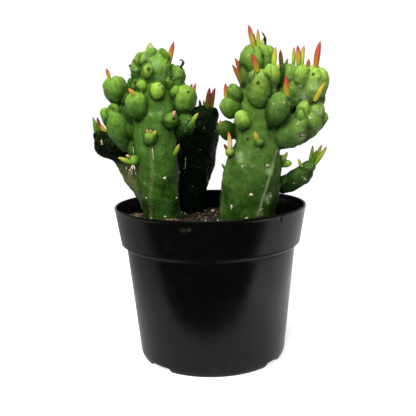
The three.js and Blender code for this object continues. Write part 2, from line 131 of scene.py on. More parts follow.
# Loose bits, as (how many, finish, its dark colour and its light one)
LOOSE_BITS = {
    "clods": (760, "soil_clod", (0.005, 0.0035, 0.002), (0.078, 0.054, 0.026)),
    "chips": (260, "wood_chip", (0.07, 0.04, 0.02), (0.30, 0.20, 0.10)),
    "fibres": (260, "coir_fibre", (0.10, 0.065, 0.03), (0.36, 0.27, 0.15)),
    "perlite": (34, "perlite", (0.42, 0.38, 0.30), (0.80, 0.78, 0.70)),
}

# Floor and light
FLOOR_HALF = 700
FLOOR_FRONT = -150
PAPER_EDGE = 0.124
PAPER_SOFTNESS = 0.012
PAPER_SLANT = 0.14
PAPER_TONES = ((0.25, 0.16), (0.36, 0.26), (0.5, 0.26), (0.6, 0.32), (0.67, 0.46), (0.74, 0.36))
PAPER_GAIN = 2.0
PAPER_WHITE = 0.94
PAPER_GLOW = 0.7
# The room that the pot mirrors: its lean, and its light over depth and height, as (from, from, to, to)
ROOM_LEAN = 0.15
ROOM_DEPTH = (-0.42, 0.45, 0.0, 0.9)
ROOM_HEIGHT = (0.03, 0.28, 1.0, 0.08)
FILL = 0.17
BACKDROP = 1.02
# Lights, as (place, aim, size, power, whether gloss shows it)
LIGHTS = {
    "top": ((-80, -200, 980), (0, 0, 150), (420, 420), 4.8, True),
    "front": ((380, -860, 560), (0, 0, 180), (500, 400), 2.6, True),
    "soft": ((-330, -760, 760), (0, 0, 190), (620, 480), 13.2, False),
}

# Skin colours: old, middle, young, the painted shade's and the bloom's, in linear light
SKIN_LEFT = (
    (0.006, 0.027, 0.0015), (0.055, 0.132, 0.015), (0.25, 0.43, 0.040), (0.004, 0.014, 0.001),
    (0.105, 0.205, 0.050),
)
SKIN_RIGHT = (
    (0.009, 0.032, 0.002), (0.064, 0.138, 0.017), (0.27, 0.44, 0.055), (0.004, 0.014, 0.001),
    (0.145, 0.235, 0.070),
)
# Painted shade: the back stems' skins are made very dark in place of the shade that falls on them; only the
# olive of the back-left trunk is its own colour
SKIN_BACK_PAINTED_SHADE = (
    (0.0009, 0.0045, 0.0006), (0.0016, 0.0075, 0.0008), (0.008, 0.035, 0.003), (0.0005, 0.0018, 0.0003),
    (0.006, 0.022, 0.004),
)
SKIN_OLIVE_AND_PAINTED_SHADE = (
    (0.105, 0.13, 0.045), (0.0008, 0.0045, 0.0004), (0.004, 0.019, 0.0015), (0.0005, 0.002, 0.0002),
    (0.005, 0.014, 0.002),
)

# Leaf colours, from the foot to the tip, in linear light
LEAF_KINDS = {
    "ripe": [(0.27, 0.31, 0.02), (0.36, 0.235, 0.02), (0.36, 0.058, 0.019), (0.28, 0.015, 0.015)],
    "pink": [(0.34, 0.18, 0.018), (0.39, 0.085, 0.02), (0.42, 0.046, 0.023), (0.32, 0.022, 0.022)],
    "orange": [(0.20, 0.34, 0.014), (0.36, 0.41, 0.026), (0.40, 0.26, 0.028), (0.34, 0.05, 0.022)],
    "amber": [(0.33, 0.31, 0.02), (0.38, 0.33, 0.02), (0.46, 0.32, 0.028), (0.42, 0.14, 0.03)],
    "lime": [(0.18, 0.36, 0.014), (0.35, 0.46, 0.026), (0.40, 0.38, 0.034), (0.44, 0.17, 0.04)],
    "lemon": [(0.30, 0.33, 0.03), (0.48, 0.40, 0.045), (0.52, 0.30, 0.04), (0.43, 0.10, 0.025)],
    "chartreuse": [(0.10, 0.22, 0.014), (0.21, 0.34, 0.026), (0.33, 0.40, 0.044), (0.43, 0.23, 0.04)],
    "bud": [(0.15, 0.31, 0.026), (0.38, 0.45, 0.042), (0.55, 0.46, 0.06), (0.54, 0.23, 0.034)],
    "cream": [(0.49, 0.44, 0.17), (0.63, 0.50, 0.22), (0.61, 0.36, 0.11), (0.45, 0.054, 0.026)],
    "pale": [(0.164, 0.265, 0.0312), (0.262, 0.359, 0.0624), (0.312, 0.374, 0.078), (0.295, 0.296, 0.0624)],
    "green": [
        (0.041, 0.125, 0.00936), (0.0656, 0.179, 0.0156), (0.0984, 0.211, 0.0234), (0.164, 0.187, 0.0312),
    ],
    "russet": [(0.10, 0.085, 0.008), (0.22, 0.11, 0.02), (0.27, 0.058, 0.02), (0.28, 0.028, 0.018)],
    "maroon": [(0.065, 0.10, 0.006), (0.11, 0.07, 0.009), (0.15, 0.028, 0.008), (0.16, 0.012, 0.007)],
    "bronze": [
        (0.0574, 0.117, 0.0117), (0.0984, 0.115, 0.0156), (0.16, 0.044, 0.0146), (0.15, 0.0156, 0.0117),
    ],
    "tan": [(0.246, 0.172, 0.0624), (0.426, 0.265, 0.14), (0.492, 0.296, 0.187), (0.377, 0.203, 0.125)],
    "dry": [(0.02, 0.012, 0.008), (0.015, 0.008, 0.008), (0.012, 0.007, 0.006), (0.01, 0.006, 0.006)],
}

# Stems. slot, voxel and skin: the finish, the voxel of the fused skin, its material, gloss and colours.
# column: its (x, y, z, radius); dome: the height of its top; ages: heights of old and young skin.
# tubercles: how many around, the first one's degrees, the rise of a row and the lowest one's height.
# ridges: paths of (degrees from the front, height). crests: (spot, reach) of softened, knobbly heads.
# shoots: (foot, tip, width, youth, clefts, turn); clefts is their number or a tuple of their degrees.
# leaves: (foot, tip, width, kind). hooks: paths of dried leaves. hanging: (foot, tip) of loose spines.
# areoles: (degrees from the front, height, size), size 0 for relief alone; felt and reach: their wool's
# tone and the length of their spines.
BURIED_TO = 90
FRONT_LEFT = {
    "slot": "cactus_green",
    "voxel": 0.68,
    "skin": ("cactus_skin_left", 0.12, *SKIN_LEFT),
    "felt": 0.75,
    "reach": 0.5,
    "column": [
        (-39.6, -8, BURIED_TO, 13.6), (-39.8, -8, 120, 14.5), (-41.2, -8, 135, 15.7), (-43, -8, 152, 17),
        (-44, -8, 172, 17.6), (-44, -8, 186, 18), (-43.5, -8, 200, 17.6), (-43.5, -8, 214, 17.2),
        (-43.5, -8, 226, 17), (-44, -8, 236, 15.2), (-44.5, -8, 243, 12.5),
    ],
    "dome": 7,
    "ages": (118, 215),
    "tubercles": (4, 12, 17, 123),
    "ridges": [[(-4, 190), (-5, 166), (-10, 154), (-24, 137), (-36, 122)]],
    "shoots": [
        ((-71, -3, 213), (-78.3, -6, 236.5), 20.5, 0.62, (-62, 8, 118, 200)),
        ((-57, -6, 214), (-73, -5, 221), 13, 0.3),
        ((-54, -19, 201.5), (-57.6, -24, 223.3), 18.3, 0.56, 2, -58),
        ((-66, -10, 177), (-78.5, -13, 208.5), 17.5, 0.5), ((-62, -9, 183), (-70.5, -13, 199), 13.5, 0.46),
        ((-78, -12, 194), (-84.4, -12, 211.5), 9, 0.66), ((-73, -9, 196), (-77.8, -9, 214.4), 10.5, 0.6),
        ((-57, -7, 186), (-72, -2, 215), 17, 0.04), ((-59, -12, 163), (-65, -12, 188), 8.2, 0.3),
        ((-60, -6, 198), (-66, 0, 212), 11, 0.04), ((-56, -16, 168.5), (-63.3, -22, 169.8), 8.2, 0.66),
        ((-47, -22, 181), (-45.8, -27.5, 192.4), 11, 0.6, 3, 0),
        ((-31, -19, 194.5), (-28.6, -28, 206), 11, 0.5, 2, 80),
        ((-40.3, -19, 215.5), (-38.9, -28.4, 229.6), 11.2, 0.95, 2, 120),
        ((-23, -9, 204.5), (-15.4, -14, 227.5), 20, 0.7), ((-29, -15, 217), (-25, -18, 227.6), 7, 0.7),
        ((-26, -10, 187), (-13.5, -16, 204), 15.5, 0.22, 3, 20), ((-33, -4, 192), (-25, -2, 207), 9, 0.04),
        ((-49, -12, 226), (-52.4, -17, 255.8), 15.6, 0.62, (30, 150, 265)),
        ((-50.2, -17, 238), (-50.2, -22, 252.6), 8, 0.62), ((-40, -13, 214), (-38.6, -14, 254), 23, 0.6),
        ((-43, -13, 240), (-43.2, -15.5, 258.4), 9.5, 0.58),
        ((-35.4, -12, 240), (-35, -14, 256.6), 11, 0.58),
        ((-31, -7, 216), (-24.8, -8, 245.4), 19, 0.56, (-40, 10, 70, 190)),
        ((-53, -14, 231), (-57.2, -19.5, 246.2), 9.6, 0.58),
        ((-53, -13, 224), (-57.6, -15, 241), 9.6, 0.46),
        ((-45.5, -16, 227), (-46.2, -23.4, 244), 13, 0.64),
        ((-46.2, -21, 232), (-46.2, -28, 242.2), 7.8, 0.82),
        ((-52, -13, 218), (-57.5, -19, 233.3), 11, 0.5),
        ((-50.5, -16, 220), (-52.3, -25.5, 232.2), 9.4, 0.7, 2, 60),
        ((-54, -9, 212), (-61.6, -9, 236), 11.5, 0.24), ((-31.2, -16, 225), (-30, -23, 234), 6.6, 0.74),
    ],
    "back_shoots": [
        ((-46, 3, 205), (-50, 16, 226), 18, 0.6, 2, 90), ((-41, 4, 189), (-39, 17, 208), 16, 0.5, 2, 60),
        ((-52, 1, 184), (-57, 11, 200), 13, 0.5, 3, 0), ((-38, 1, 220), (-35, 11, 243), 15, 0.6, 2, 120),
        ((-50, -1, 224), (-54, 8, 243), 13, 0.6), ((-42, 6, 168), (-40, 13, 178), 10, 0.6),
    ],
    "leaves": [
        ((-78.9, -6, 232.5), (-81.2, -6, 242.8), 3.3, "ripe"),
        ((-56.6, -27, 221), (-61.4, -31, 226.4), 3.6, "lemon"),
        ((-62, -21.5, 167.4), (-72.3, -26, 172.6), 3.8, "chartreuse"),
        ((-63.4, -21.5, 172), (-66.3, -24, 174.2), 2.6, "tan"),
        ((-44.6, -28, 188.2), (-40.6, -32, 193.6), 3.4, "chartreuse"),
        ((-47.4, -27.5, 190.5), (-48.8, -29.5, 194.6), 2.2, "lemon"),
        ((-45.8, -28, 190.8), (-45.2, -30.5, 194.8), 2.0, "tan"),
        ((-27.4, -28, 203.4), (-25.7, -30, 208.6), 3.4, "tan"),
        ((-12.5, -8, 216), (-9.6, -4, 229.8), 3.1, "ripe"),
        ((-15, -10, 220), (-12.5, -6, 229.3), 3.0, "maroon"),
        ((-13.6, -17, 197.5), (-7.8, -21, 206.2), 3.4, "chartreuse"),
        ((-16.6, -16, 199.5), (-14.4, -21, 202.4), 2.0, "pale"),
        ((-29.4, -15, 171), (-23.5, -24, 182.3), 3.8, "chartreuse"),
        ((-31, -10, 243.5), (-26, -10, 262.3), 4.4, "ripe"),
        ((-41.4, -14, 254), (-44.3, -13, 262), 2.3, "pale"),
        ((-47.8, -14, 254), (-44.9, -13, 261.8), 2.3, "pale"),
        ((-59, -15, 242.5), (-61.6, -17, 245), 2.4, "dry"),
    ],
    "crests": [((-43, -14, 242), 18), ((-29, -12, 233), 15), ((-55, -15, 234), 11)],
    "hooks": [
        [(-22.4, -9, 240), (-20.6, -10, 243), (-19, -10, 245.8), (-20.2, -10.5, 247.9), (-23, -11, 247.6)],
    ],
    "areoles": [
        (23, 156, 1.25), (-33, 140, 0.85), (56, 137.5, 0.6), (12, 123.5, 0.8), (-34, 122.5, 0.7),
        (-3, 206, 0), (20, 204, 0), (102, 157, 0.9), (147, 140, 0.9), (-168, 157, 1), (-123, 140, 0.8),
        (102, 124, 0.9), (-168, 124, 0.9), (147, 174, 0.8), (-123, 174, 0.9),
    ],
    "hanging": [
        ((-61.5, -24, 166), (-66, -24, 157)), ((-61, -24.5, 166), (-62.6, -25, 155)),
        ((-60.5, -24, 166), (-58.6, -25, 158)), ((-61.5, -24, 165), (-64.5, -26, 161)),
        ((-60, -23, 166), (-65, -25, 154.6)), ((-62, -14, 236), (-67.4, -12, 243)),
        ((-68, -9, 209), (-66.6, -12, 215)),
    ],
}
RIGHT = {
    "slot": "cactus_green",
    "voxel": 0.8,
    "skin": ("cactus_skin_right", 0.15, *SKIN_RIGHT),
    "felt": 0.75,
    "reach": 1.0,
    "column": [
        (27, -10, BURIED_TO, 20), (29, -10, 119, 21.7), (31.8, -10, 134, 23.3), (34.2, -10, 147, 24.2),
        (36.3, -10, 161, 22.8), (38.2, -10, 172, 19.6), (38.8, -10, 183, 17), (39, -10, 197, 16.2),
        (37.8, -10, 211, 13.6), (37.8, -9, 222, 12.4), (40, -8, 234, 11), (42, -7, 243, 8.5),
    ],
    "dome": 6,
    "ages": (118, 215),
    "tubercles": (6, -33, 16.5, 130),
    "ridges": [
        [(60, 178), (36, 162), (27, 149.5), (22, 137), (17, 120)], [(-72, 176), (-70, 150), (-70, 122)],
    ],
    "shoots": [
        ((35, -9, 226), (36.6, -12, 258.9), 20.5, 0.6, (-75, 20, 105)),
        ((44, -7, 226), (46.6, -8, 260.2), 19, 0.62, (30, 120, 250)),
        ((32, -12, 218), (30.6, -15, 246), 11, 0.56),
        ((40.3, -19, 208), (39.2, -32, 239), 18.2, 0.82, (-20, 22, 95, 180, 265)),
        ((35.6, -28, 224), (34.6, -33, 238), 7.6, 0.7), ((42.6, -27, 222), (43.4, -32, 238), 8, 0.72),
        ((51, -14, 198), (52, -15.5, 228), 9.5, 0.46), ((51, -14, 222), (50.6, -22, 243), 13.4, 0.8, 2, 0),
        ((49, -9, 199), (79, -11, 231), 20, 0.56), ((60.5, -5, 206), (61.2, -4, 243.5), 15.5, 0.08),
        ((56, 0, 190), (74, 1, 217), 15, 0.04),
        ((66.5, -8, 214), (67.2, -9, 244.6), 12.5, 0.62, (-30, 20, 100, 200)),
        ((75.2, -14, 221), (74.6, -19, 243.4), 12.6, 0.84, (-25, 12, 60, 180)),
        ((80, -10, 206), (87.6, -12, 241.8), 24.5, 0.86, (-35, 25, 110, 220)),
        ((86, -9, 212), (92.6, -9, 238.5), 13, 0.66), ((79, -10, 198), (91, -10, 224), 16.5, 0.55),
        ((76, 0, 212), (83, 7, 236), 13, 0.35), ((48, -11, 179), (87, -14, 200), 26.4, 0.62),
        ((69, -13, 181), (88.5, -14, 206), 22, 0.74), ((71.5, -16, 190), (73.8, -22.5, 206.4), 8.2, 0.62),
        ((72, -15, 189), (78, -18, 213), 12.5, 0.8), ((82, -13, 187), (88.4, -16, 214), 13.5, 0.84, 2, 30),
        ((84, -10, 188), (95.2, -10, 204), 11.5, 0.75), ((74, -4, 190), (82, 2, 207), 12, 0.3),
        ((49.5, -23, 195), (60.2, -31, 220.3), 18, 0.46, (-30, 40, 180)),
        ((58.5, -29, 211), (62.4, -32, 218.6), 7.2, 0.72),
        ((26, -14, 213), (16.4, -20, 227.3), 12.6, 0.5, 2, 0),
        ((26, -14, 203), (11, -19, 216), 15.5, 0.5, 2, -40),
        ((28.2, -19, 192.4), (25.7, -31, 206.6), 12.8, 0.84),
        ((24, -6, 185.5), (7.8, -8, 196.6), 14.5, 0.2), ((20, -14, 171), (16, -22, 176.4), 7.4, 0.74),
        ((39.5, -24, 177), (40.4, -30.4, 184), 6.4, 0.5), ((55, -8, 160), (62.6, -8, 170.4), 6.4, 0.82),
        ((58, -8, 160.5), (67.4, -8, 164.4), 5.6, 0.85), ((50, 1, 142), (72, 0, 150), 12, 0.2),
        ((58, 1, 139), (87, 0, 158.5), 16, 0.24, 3, 0), ((72, 0, 144), (87, 0, 163.8), 13, 0.32),
    ],
    "back_shoots": [
        ((40, 0, 189), (42, 15, 210), 18, 0.5, 2, 60), ((31, 0, 180), (25, 11, 198), 16, 0.5, 3, 0),
        ((46, -1, 203), (53, 11, 224), 16, 0.6, 2, 100), ((35, -2, 220), (31, 8, 244), 14, 0.6),
        ((44, -2, 224), (48, 7, 247), 12, 0.6, 2, 45), ((41, 8, 158), (43, 18, 175), 13, 0.5),
    ],
    "leaves": [
        ((38.3, -33, 236), (33.3, -36, 250.6), 4.6, "ripe"),
        ((34.6, -32.5, 236.5), (28, -38, 245.7), 1.7, "green"),
        ((51.8, -21.5, 240), (53.6, -22, 256), 4, "lime"),
        ((54.4, -20, 236), (56.4, -21, 243), 2.6, "lemon"), ((61, 2, 241), (59.9, 2, 255), 3.6, "maroon"),
        ((63.2, 2, 240.5), (65.8, 2, 248), 2.6, "green"),
        ((70, -3, 242), (70.2, -4, 256.6), 3.3, "orange"),
        ((71.8, -18.5, 241), (71.1, -18, 257.1), 4, "ripe"),
        ((74.8, -17.5, 240.5), (76.8, -16, 257), 3.7, "orange"),
        ((81.4, -8, 238), (82, -6, 246.8), 3.4, "pink"), ((87, -10, 239), (90.5, -10, 260.3), 4.9, "pink"),
        ((84.2, -22, 213), (92, -24, 227.4), 3.9, "amber"),
        ((83, -20, 213), (87, -23.6, 213.4), 2.2, "dry"),
        ((61.6, -31.5, 216.5), (60.6, -34, 233.4), 4.6, "ripe"),
        ((14.9, -18, 215.5), (14.2, -20, 229), 3.6, "ripe"),
        ((10.8, -11, 194), (9.4, -16, 199.8), 2.8, "lemon"),
        ((16.6, -21, 175), (15.7, -24, 190.8), 3.9, "cream"),
        ((15, -19, 176), (12.2, -21, 181.2), 2.6, "maroon"),
        ((39.8, -26, 182), (35.9, -33.5, 191.2), 4.2, "bud"),
        ((61.5, -8, 166), (64.3, -9, 172.4), 3, "chartreuse"),
        ((83.3, 0, 161), (86.4, 0, 177), 3.2, "chartreuse"), ((85, -2, 161.5), (89, -3, 173), 3, "green"),
        ((86.5, 1, 160.5), (94.4, 1, 177.4), 3.6, "chartreuse"),
        ((87.5, -1, 160.5), (98, -1, 175.8), 3.8, "chartreuse"),
        ((76, -5, 159.5), (73.4, -6, 166.6), 2.8, "chartreuse"),
        ((15.5, -13, 157.5), (9.9, -17, 165.2), 2.6, "green"),
        ((27.5, -11, 231), (22.2, -12, 248.7), 4, "russet"),
        ((27.5, -13, 227), (19.8, -14, 243.5), 3.7, "russet"),
        ((38, -12, 255), (33.4, -12, 274), 4.2, "ripe"), ((41, -8, 253), (41, -8, 271), 3.4, "orange"),
        ((39.7, -5, 252), (38, -4, 267.8), 3.2, "maroon"),
        ((43.6, -7.5, 254), (45.3, -8, 264), 2.8, "pale"),
    ],
    "crests": [((41, -4, 251), 14), ((80, -12, 226), 15), ((66, -18, 218), 10), ((74, -14, 190), 15)],
    "hooks": [[(46.4, -7, 256), (46.9, -7.5, 261), (46, -8, 265.5), (43.6, -8, 268.9)]],
    "areoles": [
        (-27, 163.5, 0.9), (24, 163.5, 0.95), (-2, 141.5, 1.05), (-36, 132, 1.0), (-2, 122.5, 0.8),
        (22, 129, 0.6), (41, 139, 0.5), (-73, 145, 0.6), (-25, 183.5, 0), (87, 146, 0.8), (147, 146, 1),
        (-153, 146, 0.9), (117, 130, 0.9), (177, 130, 1), (-123, 130, 0.8), (87, 179, 0.8), (177, 163, 1),
        (-123, 163, 0.9), (-93, 179, 0.8),
    ],
    "hanging": [],
}
BACK_CENTRE = {
    "slot": "cactus_dark_green",
    "voxel": 0.8,
    "skin": ("cactus_skin_dark", 0.07, *SKIN_BACK_PAINTED_SHADE),
    "felt": 0.25,
    "reach": 1.0,
    "column": [
        (-19.5, 44, BURIED_TO, 12), (-19.4, 44, 118, 13), (-18.6, 44, 134, 14.6), (-16.4, 44, 146, 16.4),
        (-12.8, 44, 162, 17.9), (-9.6, 44, 182, 18.1), (-6.6, 44, 197, 16.8), (-5, 44, 203, 14),
    ],
    "dome": 6,
    "ages": (140, 215),
    "tubercles": (4, 10, 16, 125),
    "ridges": [],
    "shoots": [
        ((1, 42, 188), (5.5, 40, 209.5), 12.5, 0.3), ((-15, 41, 169), (-32.5, 36, 184.5), 14, 0.15),
        ((-5.5, 41, 193), (-7.8, 38, 211), 13, 0.6), ((-14, 40, 190), (-17, 38, 207), 12, 0.5),
    ],
    "back_shoots": [
        ((-14, 53, 150), (-16, 65, 167), 15, 0.4, 2, 90), ((-8, 55, 177), (-5, 66, 197), 16, 0.6, 2, 60),
        ((-14, 50, 188), (-18, 56, 206), 13, 0.6, 3, 0), ((-1, 52, 160), (1, 63, 176), 12, 0.5),
        ((-20, 54, 130), (-24, 62, 142), 10, 0.5),
    ],
    "leaves": [
        ((-1.2, 40, 205), (1.9, 39, 226.3), 5, "maroon"),
        ((2.8, 40.5, 205), (6.9, 42, 226), 4.6, "maroon"), ((-6.4, 39, 207), (-7.2, 38, 216), 2.7, "dry"),
        ((-4, 41, 205), (-3.6, 40, 215.6), 2.7, "green"),
    ],
    "crests": [],
    "hooks": [],
    "areoles": [
        (10, 141, 0.4), (-28, 157, 0.4), (50, 157, 0.4), (10, 173, 0.5), (-35, 189, 0.4), (55, 189, 0.4),
        (14, 192, 0.5), (100, 141, 0.7), (-170, 141, 0.8), (145, 157, 0.8), (-125, 157, 0.8),
        (100, 173, 0.8), (-80, 173, 0.6),
    ],
    "hanging": [],
}
BACK_LEFT = {
    "slot": "cactus_dark_green",
    "voxel": 0.62,
    "skin": ("cactus_skin_olive", 0.06, *SKIN_OLIVE_AND_PAINTED_SHADE),
    "felt": 0.75,
    "reach": 1.0,
    "column": [
        (-47, 20, BURIED_TO, 7.2), (-49, 20, 118, 7.6), (-56.5, 20.5, 135, 7.4), (-66.5, 21, 149, 7),
        (-73.5, 22, 163, 6.6), (-79.5, 22, 173.5, 9.2), (-86.8, 22, 180, 12), (-90, 22, 184.5, 10),
    ],
    "dome": 6,
    "ages": (146, 170),
    "tubercles": (3, 20, 13, 125),
    "ridges": [],
    "shoots": [
        ((-91.5, 21, 181), (-96.4, 19, 190.6), 10, 0.5), ((-88, 20, 180), (-90, 17, 192), 9, 0.6),
        ((-83, 19, 174), (-82, 12, 184), 10, 0.3), ((-84, 23, 176), (-79, 24, 188), 10, 0.3),
        ((-91, 21, 177.5), (-97.6, 19, 181), 8.6, 0.3),
    ],
    "back_shoots": [
        ((-86, 26, 173), (-86, 37, 184), 12, 0.5, 2, 90), ((-93, 26, 179), (-97, 32, 186), 9, 0.5),
    ],
    "leaves": [
        ((-96.2, 20, 186.5), (-98.2, 19, 203.6), 3.8, "green"),
        ((-92.6, 20, 187), (-94.6, 19, 203.4), 3.8, "bronze"),
        ((-87.6, 18, 187), (-91.2, 16, 197.6), 3.8, "amber"),
        ((-90, 12, 180), (-90.6, 9.6, 182.4), 2.2, "tan"),
    ],
    "crests": [],
    "hooks": [],
    "areoles": [(-20, 132, 0.7), (80, 146, 0.7), (-160, 146, 0.8), (20, 158, 0.7)],
    "hanging": [],
}
STEMS = {
    "stem_front_left": FRONT_LEFT,
    "stem_right": RIGHT,
    "stem_back_centre": BACK_CENTRE,
    "stem_back_left": BACK_LEFT,
}

# Scars and areoles of the shoots, as (pixel across, pixel down, size) in the photograph
DARK_SCARS = [
    (148.9, 69, 1.9), (134.9, 82.8, 1.7), (169.5, 79.2, 1.3), (188.5, 92, 1.1), (257.9, 83, 1.4),
    (242.8, 84.6, 1.6), (263, 56, 1.3), (313, 74.2, 1.4), (301.4, 135.4, 1.7), (247.6, 139.3, 1.4),
    (159.6, 84.6, 1.3), (163, 88.2, 1.2), (145.5, 207, 2.6), (96, 138.5, 1.5), (174, 118.8, 1.2),
]
PALE_SCARS = [
    (160.4, 56.4, 1.3), (161.6, 86, 1.9), (150.6, 114.2, 1.6), (161, 113, 1.8), (171.3, 146, 0.9),
    (300.2, 85.6, 1.6), (315.5, 128.5, 1.2), (239, 155, 4.0), (258.3, 149, 1.2), (144.3, 183.3, 0.9),
    (302.5, 176.7, 1.0), (300.8, 164.8, 1.0), (126, 158.6, 1.2), (136, 69, 1.6), (274, 88, 3.4),
    (156, 64, 3.2), (267, 198, 3.0), (262, 214, 2.6), (270, 172, 3.4), (240, 160, 3.0), (146, 57, 2.6),
    (314, 86, 4.6), (319, 112, 4.0), (301, 138, 4.4), (322, 92, 3.6), (303, 96, 5.0), (320, 128, 3.4),
]
SHOOT_AREOLES = [
    (310.6, 118, 0.8), (298.6, 122.6, 0.75), (302, 134.6, 0.7), (317.5, 129.6, 0.5), (126.5, 168.3, 0.6),
    (304.6, 178.6, 0.6), (302.4, 166.6, 0.55), (299.8, 189.6, 0.5), (273.6, 104.2, 0.55),
    (284, 102.4, 0.6), (300.4, 85.8, 0.6), (237.6, 117, 0.3), (101.5, 141.2, 0.7), (319.6, 164.6, 0.5),
    (294, 183, 0.4),
]
# Pale corky lines, as (path in pixels, width)
PALE_LINES = [
    ([(277.5, 149), (272.5, 166), (267.5, 184), (263, 199), (258, 215)], 0.85),
    ([(264, 199), (270.5, 193), (268, 203)], 0.8),
]
# Speckled skin, as (pixel across, pixel down, reach in pixels, number of specks)
SPECKLED = [
    (187, 126, 7, 26), (250, 78, 6, 12), (318, 112, 9, 22), (292, 96, 10, 20), (309, 172, 9, 16),
    (172, 70, 8, 14),
]
# Long pale spines that lie against the skin, as paths in pixels
LYING_SPINES = [
    [(152.3, 148.6), (153, 154), (153.8, 161)], [(185.6, 157), (185.6, 165), (184.8, 173.4)],
    [(133, 146), (134, 155)],
]

# Shoots and columns of the stems
SHOOT_SIDES = 44
SHOOT_RINGS = 34
# Where a shoot is widest, as a share of its length, and how wide its foot is, as a share of that
WIDEST = 0.5
FOOT_SHARE = 0.34
# How many facets a shoot has around it, with their size
FACETS = ((2, 0.035), (3, 0.03), (5, 0.016))
# The clefts at a shoot's top, as shares of its width, and the shares of its length where they set in
CLEFT_DEPTH = 0.13
CLEFT_WIDTH = 0.062
CLEFT_PINCH = 0.16
LOBE_SWELL = 0.04
CLEFT_SIDE = (0.5, 0.85)
CLEFT_TOP = (0.62, 0.98)
COLUMN_SIDES = 96
COLUMN_STEP = 1.5
DOME_STEPS = 9
TUBERCLE = 0.7
# On the column: a swelling and a pit at each areole, as (rise, half width, half height, how far below it),
# and ridges, as (rise, half width)
SWELLING = (1.1, 4.2, 5.5, 2.5)
PIT = (-0.7, 1.6, 1.6, 0)
RIDGE = (0.8, 2.2)
# Where a ridge sets in under its foot, and where it fades, from under its top to over it
RIDGE_ENDS = (-6, -4, 8)
# Cork along the ridges: how many spots a ridge has, their width, how far out they lie, and how corky it is
CORK_SPOTS = 60
CORK_WIDTH = 1.5
CORK_OUT = 0.5
CORK_SHARE = 0.45
# Smoothing: a step and the smaller step back
RELAX = (0.5, -0.26)
# Filling of hollows: how many rounds, how much of a hollow, and how soft the skin is outside the crests
CREST_ROUNDS = 16
CREST_FILL = 0.8
PLAIN_SOFTNESS = 0.08
# How young the skin is: the column's at its foot and how much it gains, what a shoot's foot lacks, what its
# tip gains and where along it; and how far from a seam two skins blend
COLUMN_YOUTH = (0.04, 0.46)
FOOT_LACKS = 0.30
TIP_GAINS = 0.42
GAIN_FROM = (0.15, 0.95)
SEAM_BLEND = 2.2
# Painted shade: for an underside, for what also faces sideways, and in a seam; and how far each reaches
# from a seam
UNDERSIDE = 0.38
FACING_UP = 0.55
UNDER_REACH = 5
SEAM_SHADE = 0.6
SEAM_REACH = 1.3
SOFT_LIGHT = 0.35
# Bumps, as (wavelength, seed, size, more size on soft skin), and ridges on soft skin, as (wavelength, seed,
# depth) under a height
BUMPS = ((15, 3, 0.32, 0), (7, 4, 0.15, 0.15), (3.4, 5, 0.06, 0))
RIDGE_HEIGHT = 0.45
RIDGES = ((10, 6, 0.9), (5.5, 7, 0.3))
# Scars of random size: specks seen in the photograph, and seeded ones at the back, above a height and
# one for so many points of the mesh
SPECK_SIZE = (0.4, 0.7)
REAR_SCAR_SIZE = (0.8, 1.6)
REAR_SCARS_FROM = 125
POINTS_A_SCAR = 2500
# How many spots a pale line has; a scar's strength and how sharply it ends; and its depth, as a share of
# its size, and how sharply that ends
LINE_SPOTS = 36
SCAR_STRENGTH = 1.3
SCAR_SHARPNESS = 1.4
SCAR_DEPTH = 0.4
PIT_SHARPNESS = 2.2

# Leaves, wool and spines; those of an areole are given for an areole of size 1
LEAF_RINGS = 16
LEAF_SIDES = 14
LEAF_BEND = 0.22
# Places of a leaf's colours along it, and how far the two in the middle are moved
LEAF_STOPS = (0.0, 0.4, 0.72, 1.0)
STOPS_SHIFT = (-0.08, 0.06)
BACK_LEAF = {"length": 13, "width": 3.4, "sink": 3, "lift": 0.6}
BACK_KINDS = ("orange", "ripe", "lemon", "green")
HOOK_RINGS = 22
HOOK_SIDES = 10
HOOK_WIDTH = 2.7
LYING_WIDTH = 0.62
LYING_LIFT = 0.35
# A cushion's shape, and its lumps as (fineness, wavelength, seed, strength)
TUFT = np.array([1.0, 0.85, 0.5])
TUFT_LUMPS = (2, 1.1, 11, 0.22)
PAD_HEIGHT = 0.5
PAD_TONE = 0.05
PAD_SIZE = 1.25
TUFT_SIZES = (0.42, 0.72)
TUFTS = 3
TUFT_REACH = 0.45
TUFT_LIFT = 0.3
HAIRS = 12
HAIR_LEAN = 1.5
HAIR_LENGTHS = (0.9, 1.8)
HAIR_WIDTH = 0.2
SPINES = (3, 6)
SPINE_LENGTHS = (2.2, 4.6)
SPINE_WIDTH = 0.5
SPINE_RISE = 0.55
SPINE_DIP = np.array([0, 0, -0.35])
SPINE_SINK = 0.4
SPINE_DROOP = 0.12
SPINE_RINGS = 7
SPINE_SIDES = 6
HANGING_WIDTH = 0.62
HANGING_DROOP = 0.05
# How far outside the column the search for an areole's spot starts
SEARCH_FROM = 60


# Small mathematics
def unit(vectors):
    return vectors / np.maximum(np.linalg.norm(vectors, axis=-1, keepdims=True), 1e-9)


def smoothstep(value, low, high):
    share = np.clip((value - low) / (high - low), 0, 1)
    return share * share * (3 - 2 * share)


def bell(value, width):
    return np.exp(-((value / width) ** 2))


def away(points, spot):
    return np.linalg.norm(points - spot, axis=1)


def around(sides):
    return np.linspace(0, math.tau, sides, endpoint=False)


def turned_by(angle, other):
    return (angle - other + 180) % 360 - 180


def catmull(points, count):
    """`count` places on a smooth path through the points, with any further columns carried along."""
    points = np.asarray(points, float)
    ends = np.vstack([2 * points[0] - points[1], points, 2 * points[-1] - points[-2]])
    place = np.linspace(0, len(points) - 1, count)
    span = np.minimum(place.astype(int), len(points) - 2)
    u = (place - span)[:, None]
    a, b, c, d = (ends[span + k] for k in range(4))
    return 0.5 * (2 * b + (c - a) * u + (2 * a - 5 * b + 4 * c - d) * u**2 + (3 * b - a - 3 * c + d) * u**3)


